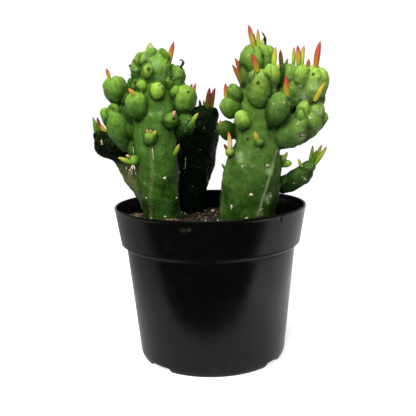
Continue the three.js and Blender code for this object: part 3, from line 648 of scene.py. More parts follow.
def field(points, wavelength, seed, waves=22):
    """Smooth seeded noise of about unit size at the points."""
    rng = np.random.default_rng(seed)
    ways = unit(rng.normal(size=(waves, 3)))
    pitch = math.tau / wavelength * rng.uniform(0.65, 1.4, waves)
    phase = rng.uniform(0, math.tau, waves)
    return np.sin(points @ (ways * pitch[:, None]).T + phase).sum(axis=1) / math.sqrt(waves / 2)


def basis(normal):
    normal = unit(np.array(normal, float))
    side = unit(np.cross(normal, [0, 0, 1.0] if abs(normal[2]) < 0.9 else [1.0, 0, 0]))
    return np.stack([side, np.cross(normal, side), normal])


# Shells: each is (points, faces), closed
def close_rings(points, foot, tip):
    """A closed shell over rings of points, with a fan at each end."""
    count, sides = points.shape[:2]
    a = np.arange(count * sides).reshape(count, sides)
    b = np.roll(a, -1, axis=1)
    faces = np.stack([a[:-1], b[:-1], b[1:], a[1:]], -1).reshape(-1, 4).tolist()
    for first, after, last, final in zip(a[0], b[0], a[-1], b[-1]):
        faces += [[count * sides, after, first], [count * sides + 1, last, final]]
    return np.vstack([points.reshape(-1, 3), foot, tip]), faces


def sweep(centres, along, radii, shift=0):
    """A closed shell of rings about a path. radii has a row for each ring; angle 0 faces the front."""
    angle = around(radii.shape[1])
    along = unit(along)
    across = unit(FRONT - (along @ FRONT)[:, None] * along)
    beside = np.cross(along, across)
    ring = np.cos(angle)[None, :, None] * across[:, None] + np.sin(angle)[None, :, None] * beside[:, None]
    points = centres[:, None] + radii[..., None] * ring + shift
    return close_rings(points, centres[0], points[-1].mean(axis=0))


def tube(path, radii, sides):
    """A round shell along a path, with a radius for each of its points."""
    return sweep(path, np.gradient(path, axis=0), np.repeat(radii[:, None], sides, axis=1))


def turned(profile, sides):
    """Rings of a body of revolution; its first and last points lie next to the axis."""
    profile = np.array(profile)
    ring = np.stack([np.cos(around(sides)), np.sin(around(sides))], axis=1)
    points = np.empty((len(profile), sides, 3))
    points[..., :2] = profile[:, None, :1] * ring[None]
    points[..., 2] = profile[:, None, 1]
    return points


def lump(level, waves, seed, strength, rng):
    """A lumpy unit ball."""
    made = bmesh.new()
    bmesh.ops.create_icosphere(made, subdivisions=level, radius=1)
    points = np.array([vertex.co[:] for vertex in made.verts])
    faces = [[vertex.index for vertex in face.verts] for face in made.faces]
    made.free()
    lumps = 1 + strength * field(points + rng.uniform(0, 50, 3), waves, seed)
    return points * lumps[:, None], faces


def join(shells):
    points, faces, start = [], [], 0
    for shell_points, shell_faces in shells:
        points.append(shell_points)
        faces.extend([[index + start for index in face] for face in shell_faces])
        start += len(shell_points)
    return np.vstack(points), faces


# Objects and their meshes
def add_object(name, data):
    made = bpy.data.objects.new(name, data)
    bpy.context.scene.collection.objects.link(made)
    return made


def mesh_of(name, points, faces):
    mesh = bpy.data.meshes.new(name)
    mesh.from_pydata((points * MM).tolist(), [], faces)
    mesh.update()
    return mesh


def place(name, shape, node, slot, material, **stored):
    """Adds a shell or a mesh as a smooth piece on the part's one body, in place of one of its nodes."""
    mesh = mesh_of(name, *shape) if isinstance(shape, tuple) else shape
    for key, values in stored.items():
        store(mesh, key, values)
    piece = add_object(name, mesh)
    mesh.shade_smooth()
    mesh.materials.append(material)
    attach(piece, "root")
    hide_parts(node)
    return piece


def store(mesh, name, values):
    """Keeps one number, or one colour, for each point of the mesh."""
    values = np.asarray(values, np.float32)
    if values.ndim == 1:
        mesh.attributes.new(name, "FLOAT", "POINT").data.foreach_set("value", values)
    else:
        colour = np.hstack([values, np.ones((len(values), 1), np.float32)])
        mesh.attributes.new(name, "FLOAT_COLOR", "POINT").data.foreach_set("color", colour.ravel())


def vectors_of(items, key):
    flat = np.empty(len(items) * 3, np.float32)
    items.foreach_get(key, flat)
    return flat.reshape(-1, 3).astype(float)


def points_of(mesh):
    return vectors_of(mesh.vertices, "co") / MM


def normals_of(mesh):
    return vectors_of(mesh.vertex_normals, "vector")


def move_points(mesh, points):
    mesh.vertices.foreach_set("co", (points * MM).astype(np.float32).ravel())
    mesh.update()


def fuse(name, shells, voxel):
    """One closed skin over shells that overlap."""
    rough = add_object(name, mesh_of(name, *join(shells)))
    modifier = rough.modifiers.new("fuse", "REMESH")
    modifier.mode = "VOXEL"
    modifier.voxel_size = voxel * MM
    graph = bpy.context.evaluated_depsgraph_get()
    mesh = bpy.data.meshes.new_from_object(rough.evaluated_get(graph))
    bpy.data.objects.remove(rough)
    mesh.name = name
    return mesh


def edges_of(mesh):
    """The points at both ends of each edge, and how many edges meet at each point."""
    ends = np.empty(len(mesh.edges) * 2, np.int32)
    mesh.edges.foreach_get("vertices", ends)
    a, b = ends.reshape(-1, 2).T
    return a, b, np.bincount(ends, minlength=len(mesh.vertices))[:, None]


def to_neighbours(points, edges):
    """From each point to the middle of the points that it shares an edge with."""
    a, b, degree = edges
    total = np.zeros_like(points)
    for k in range(3):
        total[:, k] = np.bincount(a, points[b, k], len(points)) + np.bincount(b, points[a, k], len(points))
    return total / degree - points


def relax(mesh, rounds=3):
    """Evens out the steps of the voxels."""
    edges, points = edges_of(mesh), points_of(mesh)
    for step in range(2 * rounds):
        points += RELAX[step % 2] * to_neighbours(points, edges)
    move_points(mesh, points)


def fill_creases(mesh, share):
    """Lifts the hollows between forms, by the share given for each point."""
    edges, points = edges_of(mesh), points_of(mesh)
    for _ in range(CREST_ROUNDS):
        normals = normals_of(mesh)
        lift = np.maximum(0, (to_neighbours(points, edges) * normals).sum(axis=1))
        points += (share * lift)[:, None] * normals
        move_points(mesh, points)


# Materials
class Nodes:
    """A node tree. node() adds a node; the other methods return the socket that carries their result."""

    def __init__(self, tree):
        self.tree = tree

    def node(self, kind, inputs=(), **settings):
        made = self.tree.nodes.new("ShaderNode" + kind)
        for key, value in settings.items():
            setattr(made, key, value)
        for key, value in dict(inputs).items():
            self.feed(made.inputs[key], value)
        return made

    def feed(self, socket, value):
        """Links another socket to this one, or sets it to a number, a vector or a colour."""
        if isinstance(value, bpy.types.NodeSocket):
            self.tree.links.new(value, socket)
        else:
            socket.default_value = (*value, 1) if socket.type == "RGBA" else value

    def math(self, operation, *values, clamp=False):
        return self.node("Math", enumerate(values), operation=operation, use_clamp=clamp).outputs[0]

    def times(self, *values):
        return self.math("MULTIPLY", *values)


class Material(Nodes):
    """A node-based material."""

    def __init__(self, name, **surface):
        self.block = bpy.data.materials.new(name)
        self.block.use_nodes = True
        super().__init__(self.block.node_tree)
        self.here = self.node("TexCoord").outputs["Object"]
        self.set(**surface)

    def set(self, **sockets):
        surface = self.tree.nodes["Principled BSDF"]
        for socket, value in sockets.items():
            self.feed(surface.inputs[socket.replace("_", " ")], value)
        return self.block

    def stored(self, name, output="Fac"):
        return self.node("Attribute", attribute_name=name).outputs[output]

    def noise(self, size, detail=3, roughness=0.5, squeeze=1):
        """Noise whose features are about `size` millimetres across, and 1 / squeeze times as tall."""
        where = self.here
        if squeeze != 1:
            where = self.node("Mapping", {"Vector": where, "Scale": (1, 1, squeeze)}).outputs[0]
        inputs = {"Vector": where, "Scale": 1 / (size * MM), "Detail": detail, "Roughness": roughness}
        return self.node("TexNoise", inputs).outputs["Fac"]

    def ramp(self, factor, *stops):
        made = self.node("ValToRGB", {"Fac": factor})
        marks = made.color_ramp.elements
        while len(marks) < len(stops):
            marks.new(0.5)
        for mark, (position, value) in zip(marks, stops):
            mark.position = position
            mark.color = (*value, 1) if isinstance(value, tuple) else (value, value, value, 1)
        return made.outputs["Color"]

    def patches(self, noise, *stops):
        return self.ramp(self.noise(*noise), *stops)

    def mottle(self, low, high, *noise):
        """Noise between two numbers or two colours."""
        return self.patches(noise, (0.3, low), (0.7, high))

    def mix(self, factor, a, b, blend="MIX"):
        inputs = {0: factor, 6: a, 7: b}
        return self.node("Mix", inputs, data_type="RGBA", blend_type=blend).outputs[2]

    def layer(self, under, over, *shares):
        """Lays one colour over another, by the product of the shares."""
        return self.mix(functools.reduce(self.times, shares), under, over)

    def bump(self, height, distance, normal=None):
        inputs = {"Height": height, "Distance": distance * MM, "Strength": 1.0}
        if normal:
            inputs["Normal"] = normal
        return self.node("Bump", inputs).outputs[0]


def cactus_skin(name, gloss, old, middle, young, shade, haze):
    """Waxy skin: darker when old, with painted shade in the creases and under forms, a patchy bloom,
    streaks, flecks and scars.
    """
    skin = Material(name, IOR=1.38, Specular_IOR_Level=gloss)
    drift = skin.math("MULTIPLY_ADD", skin.noise(13), 0.36, -0.18)
    age = skin.math("ADD", skin.stored("youth"), drift, clamp=True)
    wear = skin.ramp(age, (0.12, 0.35), (0.5, 1.0))
    colour = skin.ramp(age, (0, old), (0.5, middle), (1, young))
    colour = skin.mix(wear, colour, skin.mottle(0.70, 1.26, 3.2, 6, 0.75), "MULTIPLY")
    streaks = skin.patches((2.4, 3, 0.6, 0.16), (0.32, 0.84), (0.68, 1.14))
    colour = skin.mix(1.0, colour, streaks, "MULTIPLY")
    bloom = skin.patches((11, 6, 0.72, 0.5), (0.42, 0.05), (0.70, 0.46))
    colour = skin.layer(colour, haze, bloom, skin.patches((0.9, 3, 0.75), (0.36, 0.35), (0.62, 1.0)), wear)
    veins = skin.patches((5.5, 2, 0.5, 0.4), (0.475, 0.0), (0.5, 0.34), (0.525, 0.0))
    colour = skin.layer(colour, haze, veins, wear)
    cells = skin.node("TexVoronoi", {"Vector": skin.here, "Scale": 1 / (2.6 * MM)}).outputs["Distance"]
    dots = skin.ramp(cells, (0.10, 1.0), (0.17, 0.0))
    dotted = skin.patches((7, 2), (0.54, 0.0), (0.66, 0.4))
    colour = skin.layer(colour, skin.mix(0.55, haze, (0.52, 0.58, 0.36)), dots, dotted)
    # Painted shade in the creases and under forms, laid on in the shaded colour
    painted_shade = skin.math("SUBTRACT", 1.0, skin.stored("gap"), clamp=True)
    colour = skin.layer(colour, shade, painted_shade, 0.85)
    corky = skin.patches((1.8, 4, 0.7), (0.35, 0.1), (0.6, 1.0))
    colour = skin.layer(colour, (0.20, 0.20, 0.10), skin.stored("cork"), corky)
    scabby = skin.patches((1.5, 4, 0.7), (0.3, 0.45), (0.55, 1.0))
    colour = skin.layer(colour, skin.mix(0.35, haze, (0.42, 0.52, 0.30)), skin.stored("pale"), scabby, 0.6)
    dark = skin.math("MULTIPLY", skin.stored("dark"), 1.5, clamp=True)
    colour = skin.layer(colour, (0.030, 0.017, 0.010), dark, 0.92)
    grain = skin.bump(skin.noise(0.9, 3, 0.6), 0.12)
    wrinkles = skin.bump(skin.times(skin.noise(2.6, 4, 0.6, 0.35), wear), 0.34, grain)
    waves = skin.bump(skin.noise(6, 2), 0.35, wrinkles)
    return skin.set(Base_Color=colour, Roughness=skin.mottle(0.38, 0.56, 2.2), Normal=waves)


def leaf_flesh():
    """Soft leaf flesh, coloured along its length, with faint lengthwise streaks."""
    leaf = Material("leaf_flesh", IOR=1.4)
    streaks = leaf.mottle(0.78, 1.18, 1.1, 3, 0.6, 0.25)
    colour = leaf.mix(1.0, leaf.stored("tint", "Color"), streaks, "MULTIPLY")
    grain = leaf.bump(leaf.noise(0.9, 2), 0.08)
    return leaf.set(Base_Color=colour, Roughness=leaf.mottle(0.32, 0.46, 1.5, 2), Normal=grain)


def wool_felt():
    """Felt of the areoles: brown at its foot, cream on top."""
    wool = Material("areole_wool", Sheen_Weight=0.2)
    tone = wool.math("ADD", wool.stored("felt"), wool.times(wool.noise(0.6, 3, 0.6), 0.3))
    tones = (0.25, (0.06, 0.035, 0.018)), (0.6, (0.40, 0.29, 0.16)), (1.0, (0.86, 0.82, 0.70))
    hairs = wool.bump(wool.noise(0.35, 2), 0.15)
    rough = wool.mottle(0.85, 1.0, 0.5, 1)
    return wool.set(Base_Color=wool.ramp(tone, *tones), Roughness=rough, Normal=hairs)


def spine_horn():
    horn = Material("spine_horn")
    colour = horn.patches((2.5, 2), (0.35, (0.36, 0.22, 0.10)), (0.6, (0.74, 0.66, 0.46)))
    return horn.set(Base_Color=colour, Roughness=horn.mottle(0.4, 0.6, 1.0, 1))


def moulded_plastic():
    """Black moulded plastic with a faint grain, dusty specks and scuffs, and less gloss where the lip and
    the cleft wear, and under the ledge as painted shade.
    """
    pot = Material("pot_plastic", IOR=1.46, Specular_Tint=(0.97, 1.0, 0.92))
    worn = pot.stored("worn")
    colour = pot.mottle((0.0016, 0.0019, 0.0014), (0.0030, 0.0034, 0.0027), 9, 4, 0.6)
    dust = pot.patches((26, 6, 0.75, 2.2), (0.62, 0.0), (0.85, 0.35))
    specks = pot.patches((1.4, 2, 0.7), (0.66, 0.0), (0.76, 0.5))
    dirt = pot.math("ADD", pot.times(dust, specks), pot.times(pot.stored("scuff"), 0.6), clamp=True)
    colour = pot.mix(dirt, colour, (0.10, 0.092, 0.075))
    # Flatter colour and less gloss: wear on the lip and in the cleft, painted shade under the ledge
    colour = pot.mix(worn, colour, (0.004, 0.004, 0.0036))
    gloss = pot.math("SUBTRACT", 0.53, pot.times(worn, 0.45))
    waves = pot.bump(pot.noise(14, 2, 0.4, 0.6), 0.10, pot.bump(pot.noise(0.8, 2), 0.012))
    rough = pot.mottle(0.16, 0.25, 18, 5, 0.7, 0.35)
    return pot.set(Base_Color=colour, Roughness=rough, Specular_IOR_Level=gloss, Normal=waves)


def potting_mix():
    soil = Material("potting_mix")
    tones = (0.35, (0.004, 0.003, 0.002)), (0.55, (0.022, 0.0155, 0.0075)), (0.72, (0.115, 0.083, 0.038))
    clods = soil.bump(soil.noise(2.4, 5, 0.7), 1.6)
    grit = soil.bump(soil.noise(0.7, 3, 0.6), 0.35, clods)
    rough = soil.mottle(0.85, 1.0, 2, 2)
    return soil.set(Base_Color=soil.patches((3.2, 6, 0.7), *tones), Roughness=rough, Normal=grit)


def crumb(name, low, high, size=1.2):
    bits = Material(name)
    colour, rough = bits.mottle(low, high, size, 4, 0.65), bits.mottle(0.7, 0.95, size, 2)
    return bits.set(Base_Color=colour, Roughness=rough, Normal=bits.bump(bits.noise(0.5, 3, 0.6), 0.2))


# Camera
def rotation(degrees, axis):
    return Matrix.Rotation(math.radians(degrees), 4, axis)


CAMERA_TURN = rotation(90 - CAMERA_PITCH, "X") @ rotation(CAMERA_ROLL, "Z")


def make_camera():
    data = bpy.data.cameras.new("camera")
    data.sensor_width = SENSOR
    data.lens = FOCAL_PIXELS * SENSOR / PHOTO_SIZE
    data.clip_start, data.clip_end = CLIP
    data.dof.use_dof = False
    camera = add_object("camera", data)
    camera.matrix_world = Matrix.Translation(CAMERA_PLACE) @ CAMERA_TURN
    bpy.context.scene.camera = camera


def sight(px, py):
    """The direction from the camera through a pixel of the photograph."""
    half = PHOTO_SIZE / 2
    ahead = Vector(((px - half) / FOCAL_PIXELS, (half - py) / FOCAL_PIXELS, -1))
    return (CAMERA_TURN.to_3x3() @ ahead).normalized()


def seen_at(skins, px, py):
    """Where the sight line through a pixel first meets a skin, as (skin, spot, normal)."""
    found = []
    for skin in skins:
        hit, spot, normal, _ = skin.ray_cast(CAMERA_PLACE, sight(px, py))
        if hit:
            found.append(((spot - CAMERA_PLACE).length, skin, np.array(spot) / MM, np.array(normal)))
    if not found:
        return None
    return min(found, key=lambda item: item[0])[1:]


# Stems
def egg(share):
    """Radius along a shoot, as a share of its half width."""
    low = FOOT_SHARE + (1 - FOOT_SHARE) * np.sin(math.pi / 2 * np.clip(share / WIDEST, 0, 1)) ** 0.9
    high = np.clip(1 - np.clip((share - WIDEST) / (1 - WIDEST), 0, 1) ** 2.6, 0, 1) ** 0.5
    return np.where(share < WIDEST, low, high)


def shoot_shell(foot, tip, width, _youth, clefts=0, turn=0):
    """An egg-shaped shoot with shallow facets, whose top may be parted by clefts."""
    foot, tip = np.array((foot, tip), float)
    share = np.sin(np.linspace(0, math.pi / 2, SHOOT_RINGS)) ** 1.15
    share[-1] = 0.9995
    centres = foot + share[:, None] * (tip - foot)
    along = np.repeat((tip - foot)[None], SHOOT_RINGS, axis=0)
    angle = around(SHOOT_SIDES)
    rng = np.random.default_rng(abs(int(100 * (foot[0] + 3 * tip[1] + 7 * tip[2]))))
    phases = rng.uniform(0, math.tau, len(FACETS))
    facets = sum(size * np.cos(count * angle + phase) for (count, size), phase in zip(FACETS, phases))
    radii = width / 2 * egg(share)[:, None] * (1 + facets[None] * smoothstep(share, 0, 0.3)[:, None])
    if not clefts:
        return sweep(centres, along, radii)
    if isinstance(clefts, tuple):
        ways = np.radians(clefts)
    else:
        ways = math.radians(turn) + math.tau * np.arange(clefts) / clefts
    apart = np.abs((angle[:, None] - ways[None] + math.pi) % math.tau - math.pi).min(axis=1)
    off = radii * np.sin(np.minimum(apart, math.pi / 2))[None]
    groove = bell(off, CLEFT_WIDTH * width)
    side = smoothstep(share, *CLEFT_SIDE)[:, None]
    radii = radii * (1 - CLEFT_PINCH * groove * side + LOBE_SWELL * (1 - groove) * side)
    drop = -CLEFT_DEPTH * width * groove * smoothstep(share, *CLEFT_TOP)[:, None]
    return sweep(centres, along, radii, drop[..., None] * unit(tip - foot))


def column_path(stem):
    length = stem["column"][-1][2] - BURIED_TO
    return catmull(stem["column"], int(length / COLUMN_STEP))


def on_column(stem, degrees, level):
    """The column's centre and radius at a height, and the way out at some degrees from the front."""
    path = column_path(stem)
    row = path[np.argmin(np.abs(path[:, 2] - level))]
    turn = math.radians(degrees)
    return row[:3], row[3], np.array([math.sin(turn), -math.cos(turn), 0.0])


def column_shell(stem):
    """The stem's column under its round top, with the relief of its skin."""
    path = column_path(stem)
    centres, radius = path[:, :3], path[:, 3]
    along = unit(np.gradient(centres, axis=0))
    rise = np.radians(np.linspace(0, 90, DOME_STEPS + 1)[1:])
    top = centres[-1] + np.sin(rise)[:, None] * stem["dome"] * along[-1]
    centres = np.vstack([centres, top])
    radius = np.concatenate([radius, radius[-1] * np.maximum(np.cos(rise), 0.01)])[:, None]
    along = np.vstack([along, np.repeat(along[-1:], DOME_STEPS, axis=0)])
    angle = np.degrees(around(COLUMN_SIDES))[None]
    return sweep(centres, along, radius + relief(stem, centres[:, 2:], angle, radius))


def relief(stem, height, angle, radius):
    """Tubercles, the swelling and the pit of each areole, and ridges."""
    count, start, row, low = stem["tubercles"]
    fade = smoothstep(height, BURIED_TO, low) * np.minimum(1, radius / stem["column"][-1][3])
    rows = np.cos(np.radians(count * (angle - start))) * np.cos(math.pi * (height - low) / row)
    result = TUBERCLE * fade * rows
    for degrees, level, _ in stem["areoles"]:
        off = np.radians(turned_by(angle, degrees)) * radius
        for rise, wide, tall, drop in (SWELLING, PIT):
            up = (height - level + drop) / tall
            result = result + rise * np.exp(-((off / wide) ** 2) - up**2)
    for ridge in stem["ridges"]:
        turns, levels = zip(*ridge[::-1])
        off = np.radians(turned_by(angle, np.interp(height, levels, turns))) * radius
        rising = smoothstep(height, levels[0] + RIDGE_ENDS[0], levels[0])
        here = rising * (1 - smoothstep(height, levels[-1] + RIDGE_ENDS[1], levels[-1] + RIDGE_ENDS[2]))
        result = result + RIDGE[0] * here * bell(off, RIDGE[1])
    return result


def nearest_parts(stem, points):
    """How far each point lies from the column and from each shoot, and how far along each shoot."""
    best = np.full(len(points), 1e9)
    for row in column_path(stem)[::2]:
        best = np.minimum(best, away(points, row[:3]) - row[3])
    far, share = [best], [np.zeros(len(points))]
    for foot, tip, width, *_ in stem["shoots"] + stem["back_shoots"]:
        foot, tip = np.array((foot, tip), float)
        length = np.linalg.norm(tip - foot)
        axis = (tip - foot) / length
        along = np.clip((points - foot) @ axis / length, 0, 1)
        off = away(points - foot, along[:, None] * length * axis)
        far.append(off - width / 2 * egg(np.minimum(along, 0.97)))
        share.append(along)
    return np.array(far), np.array(share)


def store_ages(mesh, stem, soft):
    """Stores how young each point's skin is, and how much painted shade it gets in the creases between
    forms and under a form.
    """
    points, normals = points_of(mesh), normals_of(mesh)
    far, share = nearest_parts(stem, points)
    owner, second = np.argsort(far, axis=0)[:2]
    index = np.arange(len(points))
    gap = far[second, index] - far[owner, index]
    column_youth = COLUMN_YOUTH[0] + COLUMN_YOUTH[1] * smoothstep(points[:, 2], *stem["ages"])
    youths = np.array([0.0] + [shoot[3] for shoot in stem["shoots"] + stem["back_shoots"]])
    young = youths[owner] - FOOT_LACKS + TIP_GAINS * smoothstep(share[owner, index], *GAIN_FROM)
    own = np.where(owner == 0, column_youth, young)
    other = np.where(second == 0, column_youth, youths[second] - 0.1)
    blend = 0.5 * (1 - smoothstep(gap, 0, SEAM_BLEND))
    store(mesh, "youth", np.clip(own * (1 - blend) + other * blend, 0, 1))
    # Painted shade for undersides and seams, stored as gap, which is one less the shade
    under = np.clip(UNDERSIDE - FACING_UP * normals[:, 2], 0, 1)
    seam = SEAM_SHADE * (1 - smoothstep(gap, 0, SEAM_REACH))
    shaded = under * (1 - smoothstep(gap, 0, UNDER_REACH)) + seam
    store(mesh, "gap", np.clip(1 - shaded * (1 - SOFT_LIGHT * soft), 0, 1))


def roughen(mesh, soft):
    """Gives the skin low bumps, and knobbly ridges where it is soft."""
    points = points_of(mesh)
    ridges = RIDGE_HEIGHT
    for wavelength, seed, depth in RIDGES:
        ridges = ridges - depth * np.abs(np.tanh(field(points, wavelength, seed)))
    bumps = soft * ridges
    for wavelength, seed, size, more in BUMPS:
        bumps = bumps + (size + more * soft) * field(points, wavelength, seed)
    move_points(mesh, points + bumps[:, None] * normals_of(mesh))


def store_cork(mesh, stem):
    points = points_of(mesh)
    cork = np.zeros(len(points))
    for ridge in stem["ridges"]:
        for degrees, level in catmull(ridge, CORK_SPOTS):
            centre, radius, out = on_column(stem, degrees, level)
            cork = np.maximum(cork, bell(away(points, centre + (radius + CORK_OUT) * out), CORK_WIDTH))
    store(mesh, "cork", CORK_SHARE * cork)


def grow_skin(name, stem):
    """The stem's fused skin, with what its material needs stored on its points."""
    shoots = stem["shoots"] + stem["back_shoots"]
    mesh = fuse(name, [column_shell(stem)] + [shoot_shell(*shoot) for shoot in shoots], stem["voxel"])
    relax(mesh)
    points = points_of(mesh)
    soft = np.full(len(points), PLAIN_SOFTNESS)
    for spot, reach in stem["crests"]:
        soft = np.maximum(soft, np.exp(-((away(points, spot) / reach) ** 4)))
    fill_creases(mesh, CREST_FILL * soft)
    store_ages(mesh, stem, soft)
    store_cork(mesh, stem)
    roughen(mesh, soft)
    return place(name + "_skin", mesh, name, stem["slot"], cactus_skin(*stem["skin"]))


def mark_scars(skins):
    """Stores dark and pale scars on the skins: those seen in the photograph, and seeded ones elsewhere."""
    marks = {skin.name: {"dark": [], "pale": []} for skin in skins}
    rng = np.random.default_rng(21)

    def mark(kind, px, py, size):
        found = seen_at(skins, px, py)
        if found:
            size = rng.uniform(*size) if isinstance(size, tuple) else size
            marks[found[0].name][kind].append((found[1], size))

    for kind, listed in (("dark", DARK_SCARS), ("pale", PALE_SCARS)):
        for scar in listed:
            mark(kind, *scar)
    for line, width in PALE_LINES:
        for px, py in catmull(line, LINE_SPOTS):
            mark("pale", px, py, width)
    for px, py, reach, count in SPECKLED:
        for _ in range(count):
            mark("pale", px + rng.uniform(-reach, reach), py + rng.uniform(-reach, reach), SPECK_SIZE)
    for skin in skins:
        points, normals = points_of(skin.data), normals_of(skin.data)
        rear = np.flatnonzero((normals[:, 1] > 0.1) & (points[:, 2] > REAR_SCARS_FROM))
        for vertex in rng.choice(rear, max(4, len(rear) // POINTS_A_SCAR), replace=False):
            kind = "dark" if rng.random() < 0.5 else "pale"
            marks[skin.name][kind].append((points[vertex], rng.uniform(*REAR_SCAR_SIZE)))
        sunk = np.zeros(len(points))
        for kind, spots in marks[skin.name].items():
            value = np.zeros(len(points))
            for spot, size in spots:
                off = away(points, spot) / size
                shown = SCAR_STRENGTH * np.exp(-(off**2) * SCAR_SHARPNESS)
                value = np.maximum(value, np.minimum(1, shown))
                if kind == "dark":
                    sunk = np.maximum(sunk, SCAR_DEPTH * size * np.exp(-(off**2) * PIT_SHARPNESS))
            store(skin.data, kind, value)
        move_points(skin.data, points - sunk[:, None] * normals)


# Leaves
def leaf_shell(foot, tip, width, bend):
    """An awl-shaped leaf, a little bent, round in section and drawn to a point; and its tint's places."""
    foot, tip = np.array((foot, tip), float)
    share = np.linspace(0, 1, LEAF_RINGS)
    sideways = unit(np.cross(tip - foot, FRONT))
    length = np.linalg.norm(tip - foot)
    bow = (bend * length * share * (1 - share))[:, None] * sideways
    centres = foot + share[:, None] * (tip - foot) + bow
    swell = 0.78 + 0.22 * np.sin(math.pi / 2 * np.clip(share / 0.4, 0, 1))
    taper = (1 - np.clip((share - 0.4) / 0.6, 0, 1) ** 2.2) ** 0.75
    shell = tube(centres, width / 2 * np.maximum(swell * taper, 0.02), LEAF_SIDES)
    return shell, np.concatenate([np.repeat(share, LEAF_SIDES), [0, 1]])


def hook_shell(path, width):
    share = np.linspace(0, 1, HOOK_RINGS)
    radii = width / 2 * np.maximum(1 - share**2.5, 0.06) * (0.9 + 0.15 * np.sin(17 * share))
    return tube(catmull(path, HOOK_RINGS), radii, HOOK_SIDES)


def back_leaves(shoots):
    """Every shoot at the back carries a leaf on its tip, except each third one."""
    made = []
    for number, (foot, tip, *_) in enumerate(shoots):
        if number % 3 == 2:
            continue
        rise = unit(unit(np.subtract(tip, foot).astype(float)) + [0, 0, BACK_LEAF["lift"]])
        start = np.array(tip) - BACK_LEAF["sink"] * rise
        made.append((start, start + BACK_LEAF["length"] * rise, BACK_LEAF["width"], BACK_KINDS[number % 4]))
    return made


def grow_leaves(name, stem, material):
    rng = np.random.default_rng(len(name))
    shells, tints = [], []
    for foot, tip, width, kind in stem["leaves"] + back_leaves(stem["back_shoots"]):
        shell, along = leaf_shell(foot, tip, width, rng.uniform(-LEAF_BEND, LEAF_BEND))
        levels = np.array(LEAF_STOPS) + np.array([0, 1, 1, 0]) * rng.uniform(*STOPS_SHIFT)
        tints.append(np.stack([np.interp(along, levels, tone) for tone in zip(*LEAF_KINDS[kind])], axis=1))
        shells.append(shell)
    for path in stem["hooks"]:
        shell = hook_shell(path, HOOK_WIDTH)
        tints.append(np.repeat([LEAF_KINDS["dry"][0]], len(shell[0]), axis=0))
        shells.append(shell)
    place(name + "_leaves", join(shells), name, stem["slot"], material, tint=np.vstack(tints))


# Areoles
def tuft_shell(spot, normal, size, rng, height=1.0):
    """A small cushion of wool, lumpy and pressed against the skin."""
    points, faces = lump(*TUFT_LUMPS, rng)
    return spot + points * (TUFT * [1, 1, height]) * size @ basis(normal), faces


def spine_shell(spot, way, length, width, droop=0.0):
    share = np.linspace(0, 1, SPINE_RINGS)
    fall = (share**2 * droop * length)[:, None] * np.array([0, 0, -1.0])
    centres = spot + share[:, None] * length * way + fall
    return tube(centres, width / 2 * np.maximum(1 - share, 0.08), SPINE_SIDES)


def areole(spot, normal, size, felt, reach, rng):
    """One areole: shells of wool, each with its tone, and the shells of its spines."""
    here = basis(normal)
    wool = [(tuft_shell(spot, normal, PAD_SIZE * size, rng, PAD_HEIGHT), PAD_TONE)]
    for _ in range(TUFTS):
        off = rng.uniform(-TUFT_REACH, TUFT_REACH, 2) * size
        above = spot + off[0] * here[0] + off[1] * here[1] + TUFT_LIFT * size * here[2]
        wool.append((tuft_shell(above, normal, rng.uniform(*TUFT_SIZES) * size, rng), felt))
    for _ in range(HAIRS):
        lean = rng.uniform(-HAIR_LEAN, HAIR_LEAN, 2)
        way = unit(here[2] + lean[0] * here[0] + lean[1] * here[1])
        wool.append((spine_shell(spot, way, rng.uniform(*HAIR_LENGTHS) * size, HAIR_WIDTH), felt))
    spines = []
    for _ in range(rng.integers(*SPINES)):
        turn = rng.uniform(0, math.tau)
        fan = math.cos(turn) * here[0] + math.sin(turn) * here[1]
        way = unit(SPINE_RISE * here[2] + fan + SPINE_DIP)
        length = reach * rng.uniform(*SPINE_LENGTHS) * size
        spines.append(spine_shell(spot - SPINE_SINK * here[2], way, length, SPINE_WIDTH, SPINE_DROOP))
    return wool, spines


def grow_areoles(name, stem, skin, spots, wool, horn):
    """Wool cushions with short spines, on the shoots at the spots given and on the column."""
    rng = np.random.default_rng(40 + len(name))
    for degrees, level, size in stem["areoles"]:
        centre, _, out = on_column(stem, degrees, level)
        hit, spot, normal, _ = skin.ray_cast(Vector((centre + SEARCH_FROM * out) * MM), Vector(-out))
        if hit and size:
            spots.append((np.array(spot) / MM, np.array(normal), size))
    tufts, spines = [], []
    for spot, normal, size in spots:
        woolly, thorny = areole(spot, normal, size, stem["felt"], stem["reach"], rng)
        tufts += woolly
        spines += thorny
    for foot, tip in stem["hanging"]:
        way = np.subtract(tip, foot).astype(float)
        length = np.linalg.norm(way)
        start = np.array(foot, float)
        spines.append(spine_shell(start, way / length, length, HANGING_WIDTH, HANGING_DROOP))
    tones = np.concatenate([np.full(len(shell[0]), tone) for shell, tone in tufts])
    cushions = join([shell for shell, _ in tufts])
    place(name + "_wool", cushions, name, stem["slot"], wool, felt=tones)
    place(name + "_spines", join(spines), name, stem["slot"], horn)


def lying_spines(skins, horn):
    """Long spines that lie against the skin which each of their pixels shows."""
    for number, pixels in enumerate(LYING_SPINES):
        found = [seen_at(skins, px, py) for px, py in pixels]
        path = [spot + LYING_LIFT * normal for _, spot, normal in found]
        carrier = found[0][0].name.removesuffix("_skin")
        name = f"{carrier}_long_spine_{number}"
        place(name, hook_shell(path, LYING_WIDTH), carrier, STEMS[carrier]["slot"], horn)


def grow_plant():
    skins = [grow_skin(name, stem) for name, stem in STEMS.items()]
    bpy.context.view_layer.update()
    spots = {name: [] for name in STEMS}
    for px, py, size in SHOOT_AREOLES:
        found = seen_at(skins, px, py)
        if found:
            spots[found[0].name.removesuffix("_skin")].append((*found[1:], size))
    mark_scars(skins)
    flesh, wool, horn = leaf_flesh(), wool_felt(), spine_horn()
    for (name, stem), skin in zip(STEMS.items(), skins):
        grow_leaves(name, stem, flesh)
        grow_areoles(name, stem, skin, spots[name], wool, horn)
    lying_spines(skins, horn)


# Pot
def straight(a, b, steps):
    return [tuple(np.add(a, np.subtract(b, a) * share)) for share in np.linspace(0, 1, steps + 1)[1:-1]]


